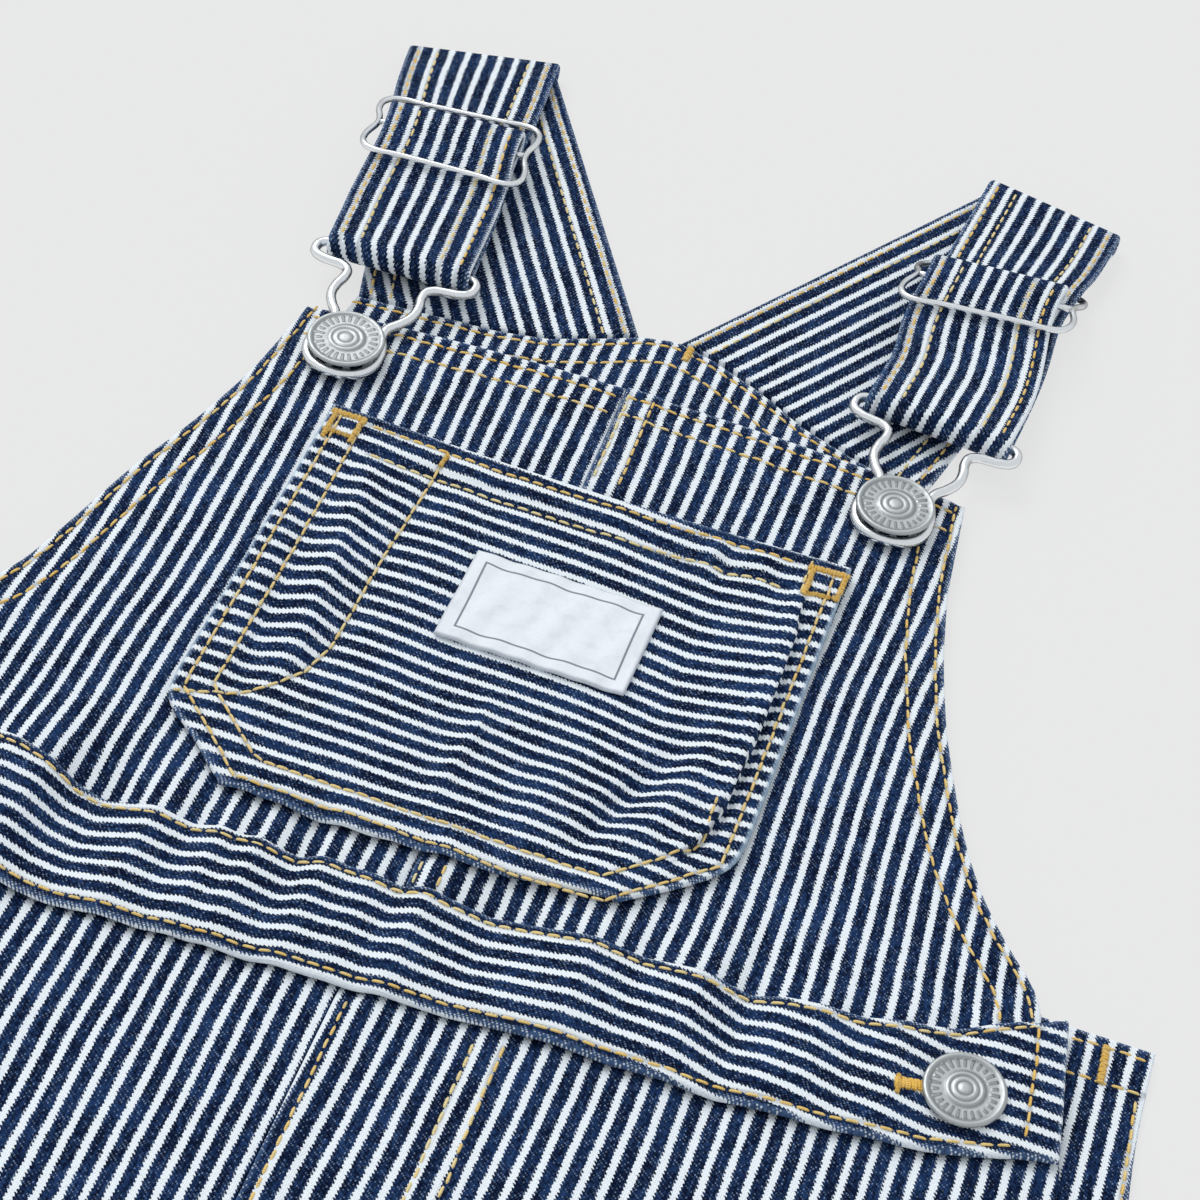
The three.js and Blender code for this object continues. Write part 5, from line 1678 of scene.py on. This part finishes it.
# %% Wire buckles and sliders
RING_Z = 5.4
WIRE_MERGE = 1e-6
BUCKLE_HALF = [
    (0, 24), (5, 24), (10, 24), (13.6, 24), (14.9, 23.3), (15.3, 21.9), (14.9, 20.6), (13.2, 19.7),
    (11, 19.4), (9, 19.1), (7.7, 18.2), (7.4, 16.6), (7.9, 14), (7.8, 11.4), (6.6, 9), (5, 6.8),
    (4.9, 4.6), (5.9, 2.4), (6.5, -0.4), (6.2, -3), (4.8, -5.2), (2.6, -6.4), (0, -6.8),
]
SLIDER_HALF = 15.2
SLIDER_WAIST = 0.96
SLIDER_CURVE = [(0, 0, 0), (0, 0, 0.5), (0, 0, 0.9), (0.02, 0.15, 1.0), (0.065, 0.5, 1.04)]


def wire_piece(name, lines, diameter):
    """Round wires along lines of points in millimetres, closed or open, as one mesh."""
    data = bpy.data.curves.new(name, "CURVE")
    data.dimensions = "3D"
    data.bevel_depth = diameter / 2 * MM
    data.bevel_resolution = 4
    data.resolution_u = 6
    data.use_fill_caps = True
    for points, closed in lines:
        spline = data.splines.new("BEZIER")
        spline.bezier_points.add(len(points) - 1)
        spline.bezier_points.foreach_set("co", (np.array(points, float) * MM).ravel())
        for point in spline.bezier_points:
            point.handle_left_type = point.handle_right_type = "AUTO"
        spline.use_cyclic_u = closed
    add_object(name, data)
    bpy.ops.object.convert(target="MESH")
    piece = bpy.context.active_object
    bpy.ops.object.mode_set(mode="EDIT")
    close_up(WIRE_MERGE)
    bpy.ops.object.shade_smooth()
    count = len(piece.data.vertices)
    set_values(piece.data, "groove", np.zeros(count))
    set_values(piece.data, "spoke", np.zeros((count, 3)), "FLOAT_VECTOR")
    set_values(piece.data, "bright", np.ones(count))
    print(f"{name}: {len(piece.data.polygons)} faces")
    return piece


def buckle_line(strap):
    """The buckle's outline, tilted from the button's ring to the strap's slanted end."""
    (x, y), (axis_x, axis_y) = strap["button"], mix(*strap["end"], 0.5)
    (outer_x, outer_y), (inner_x, inner_y) = strap["end"]
    tilt = (outer_y - inner_y) / (outer_x - inner_x)
    top = BUCKLE_HALF[0][1]
    halves = {1: [], -1: []}
    for px, py in BUCKLE_HALF:
        part = max(py, 0) / top
        for sign, points in halves.items():
            points.append((x + sign * px + (axis_x - x) * part,
                           y + py * (axis_y - y) / top + sign * px * tilt * part,
                           mix(RING_Z, BUCKLE_Z, part)))
    return halves[1] + halves[-1][1:-1][::-1]


def slider_lines(strap):
    """The slider's closed outline, waisted at its middle bar, and the middle bar itself."""
    slider = strap["slider"]
    tucked = STRAP_CLOTH + GAP + SLIDER_WIRE / 2
    top_z = tucked if slider["tucked"] else RUN_Z + STRAP_CLOTH / 2 + GAP + SLIDER_WIRE / 2
    low_z = return_height(slider["low"], slider) + STRAP_CLOTH / 2 + GAP + SLIDER_WIRE / 2 + 0.1

    def at(part, z, reach):
        distance = reach * SLIDER_HALF
        return (*beside_strap(strap, part + slider["lean"] * distance, distance + slider["shift"]), z)

    def arm(bar_part, bar_z, towards, sign):
        return [at(bar_part + towards * inward, float(mix(bar_z, SLIDER_Z, climb)), sign * reach)
                for inward, climb, reach in SLIDER_CURVE]

    def half(sign):
        waist = at(slider["middle"], SLIDER_Z, sign * SLIDER_WAIST)
        return arm(slider["top"], top_z, 1, sign) + [waist] + arm(slider["low"], low_z, -1, sign)[::-1]

    bar_line = [at(slider["middle"], SLIDER_Z, part * SLIDER_WAIST) for part in (-1, -0.5, 0, 0.5, 1)]
    return [(half(1) + half(-1)[1:-1][::-1], True), (bar_line, False)]


for side, strap in STRAPS.items():
    for name, lines, wire in (
        ("buckle", [(buckle_line(strap), True)], WIRE * WIRE_SHOWN),
        ("slider", slider_lines(strap), SLIDER_WIRE * SLIDER_SHOWN),
    ):
        pieces[f"{name}_{side}"] = wire_piece(f"{name}_{side}_wire", lines, wire)

# %% [markdown]
# A button is turned round its axis from one profile: a foot on the cloth, a shank, a disc with a
# raised rim, and rings in its middle. The flat ring between them is left plain but for fine ticks.

# %% Buttons
BUTTON_RADIUS, HIP_RADIUS, SHANK = 7, 6.4, 2.2
SPIN_STEPS = 72
SPIN_MERGE = 2e-6
SHARP_ANGLE = 50
FOOT_GAP, DISC_GAP = 0.05, 0.15
# The rim as (in from the outside, up from the disc, groove)
BUTTON_RIM = [
    (0.9, 0, 0), (0.3, 0.14, 0), (0, 0.5, 0), (0.06, 0.82, 0), (0.3, 1.04, 0), (0.62, 1.06, 0),
    (0.9, 0.9, 0.25), (1.15, 0.78, 0.5), (1.5, 0.78, 0.1),
]
# The rings on a bib button as (radius, up from the disc, groove)
BUTTON_RINGS = [
    (3.9, 0.8, 0.05), (3.5, 0.78, 0.5), (3.3, 0.86, 0.3), (3.05, 1.05, 0), (2.75, 1.08, 0),
    (2.5, 0.96, 0.5), (2.3, 0.94, 0.5), (2.05, 1.1, 0), (1.6, 1.14, 0), (1.35, 1.02, 0.55),
    (1.2, 1.02, 0.5), (0.95, 1.16, 0), (0.45, 1.2, 0), (0, 1.2, 0),
]


def button_profile(radius, foot_z, disc_z):
    """Places (radius, height, groove) from the foot's middle to the disc's middle."""
    foot = [(0, foot_z, 0), (SHANK + 0.1, foot_z, 0), (SHANK + 0.1, foot_z + 0.5, 0)]
    shank = [(SHANK, foot_z + 0.7, 0), (SHANK, disc_z, 0.3)]
    rim = [(radius - inward, disc_z + up, groove) for inward, up, groove in BUTTON_RIM]
    part = radius / BUTTON_RADIUS
    rings = [(place * part, disc_z + up, groove) for place, up, groove in BUTTON_RINGS]
    return foot + shank + rim + rings


def button_piece(name, centre, radius, foot_z, disc_z):
    """The profile spun round the button's axis, with its doubles merged and its faces outwards."""
    profile = button_profile(radius, foot_z, disc_z)
    mesh = bpy.data.meshes.new(name)
    edges = [(k, k + 1) for k in range(len(profile) - 1)]
    mesh.from_pydata([(place * MM, 0, z * MM) for place, z, _ in profile], edges, [])
    piece = add_object(name, mesh)
    set_values(mesh, "groove", [groove for _, _, groove in profile])
    bpy.ops.object.mode_set(mode="EDIT")
    bpy.ops.mesh.select_all(action="SELECT")
    bpy.ops.mesh.spin(steps=SPIN_STEPS, angle=2 * math.pi, center=(0, 0, 0), axis=(0, 0, 1))
    close_up(SPIN_MERGE)
    bpy.ops.object.shade_smooth_by_angle(angle=math.radians(SHARP_ANGLE))
    places = point_places(piece.data)
    set_values(piece.data, "spoke", places * [1, 1, 0] / (radius * MM), "FLOAT_VECTOR")
    moved = places + np.array([*centre, 0]) * MM
    piece.data.vertices.foreach_set("co", moved.astype(np.float32).ravel())
    piece.data.update()
    print(f"{name}: {len(piece.data.polygons)} faces")
    return piece


ring = np.linspace(0, 2 * np.pi, 16)
for side, strap in STRAPS.items():
    x, y = strap["button"]
    foot = float(bib_top(np.array([x]), np.array([y]))[0]) + FOOT_GAP
    disc = RING_Z + WIRE / 2 + GAP
    name = f"bib_button_{side}"
    pieces[name] = button_piece(f"{name}_disc", (x, y), BUTTON_RADIUS, foot, disc)
    x, y = HIP_BUTTONS[side]
    disc = float(band_top(x + HIP_RADIUS * np.cos(ring), y + HIP_RADIUS * np.sin(ring)).max()) + DISC_GAP
    name = f"hip_button_{side}"
    pieces[name] = button_piece(f"{name}_disc", (x, y), HIP_RADIUS, BACK_FACE + GAP, disc)

# %% [markdown]
# Each piece takes its material, rides on the garment's one body, and hides the solid that it
# stands for. For the cloth pieces in the table of what lies on what, the size they were cut to is read.

# %% Hand the pieces over
THREADS = [thread_bib, thread_pocket, thread_band, thread_legs, thread_back, thread_straps]
FINISHES = {
    "buckle": ("nickel", NICKEL), "slider": ("nickel", NICKEL), "bib_button": ("nickel", NICKEL),
    "hip_button": ("nickel", NICKEL), "pocket_label": ("label", LABEL_WEAVE),
}
BIBS = ["bib_left_cloth", "bib_right_cloth"]
LIES_ON = {
    "bib_left": ["back_panel_cloth"], "bib_right": ["back_panel_cloth"],
    "bib_pocket": BIBS, "pocket_label": ["bib_pocket_cloth"],
    "waistband_front": BIBS + ["front_leg_left_cloth", "front_leg_right_cloth"],
    "front_leg_left": ["back_leg_left_cloth"], "front_leg_right": ["back_leg_right_cloth"],
    "back_leg_left": ["floor"], "back_leg_right": ["floor"], "back_panel": ["floor"],
    "strap_left": ["floor"], "strap_right": ["floor"],
}


def dress(piece, material):
    """One material for the whole piece, which rides on the garment's only body."""
    piece.data.materials.clear()
    piece.data.materials.append(material)
    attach(piece, "root")


for name, piece in pieces.items():
    slot, material = next((v for k, v in FINISHES.items() if name.startswith(k)), ("denim", DENIM))
    dress(piece, material)
    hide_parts(name)
    if name in LIES_ON:
        width, length, area = CUTS[piece.name]
        area = min(area, width * length)
for piece in THREADS:
    dress(piece, GOLDEN_THREAD)
print("pieces:", len(pieces), "threads:", len(THREADS))
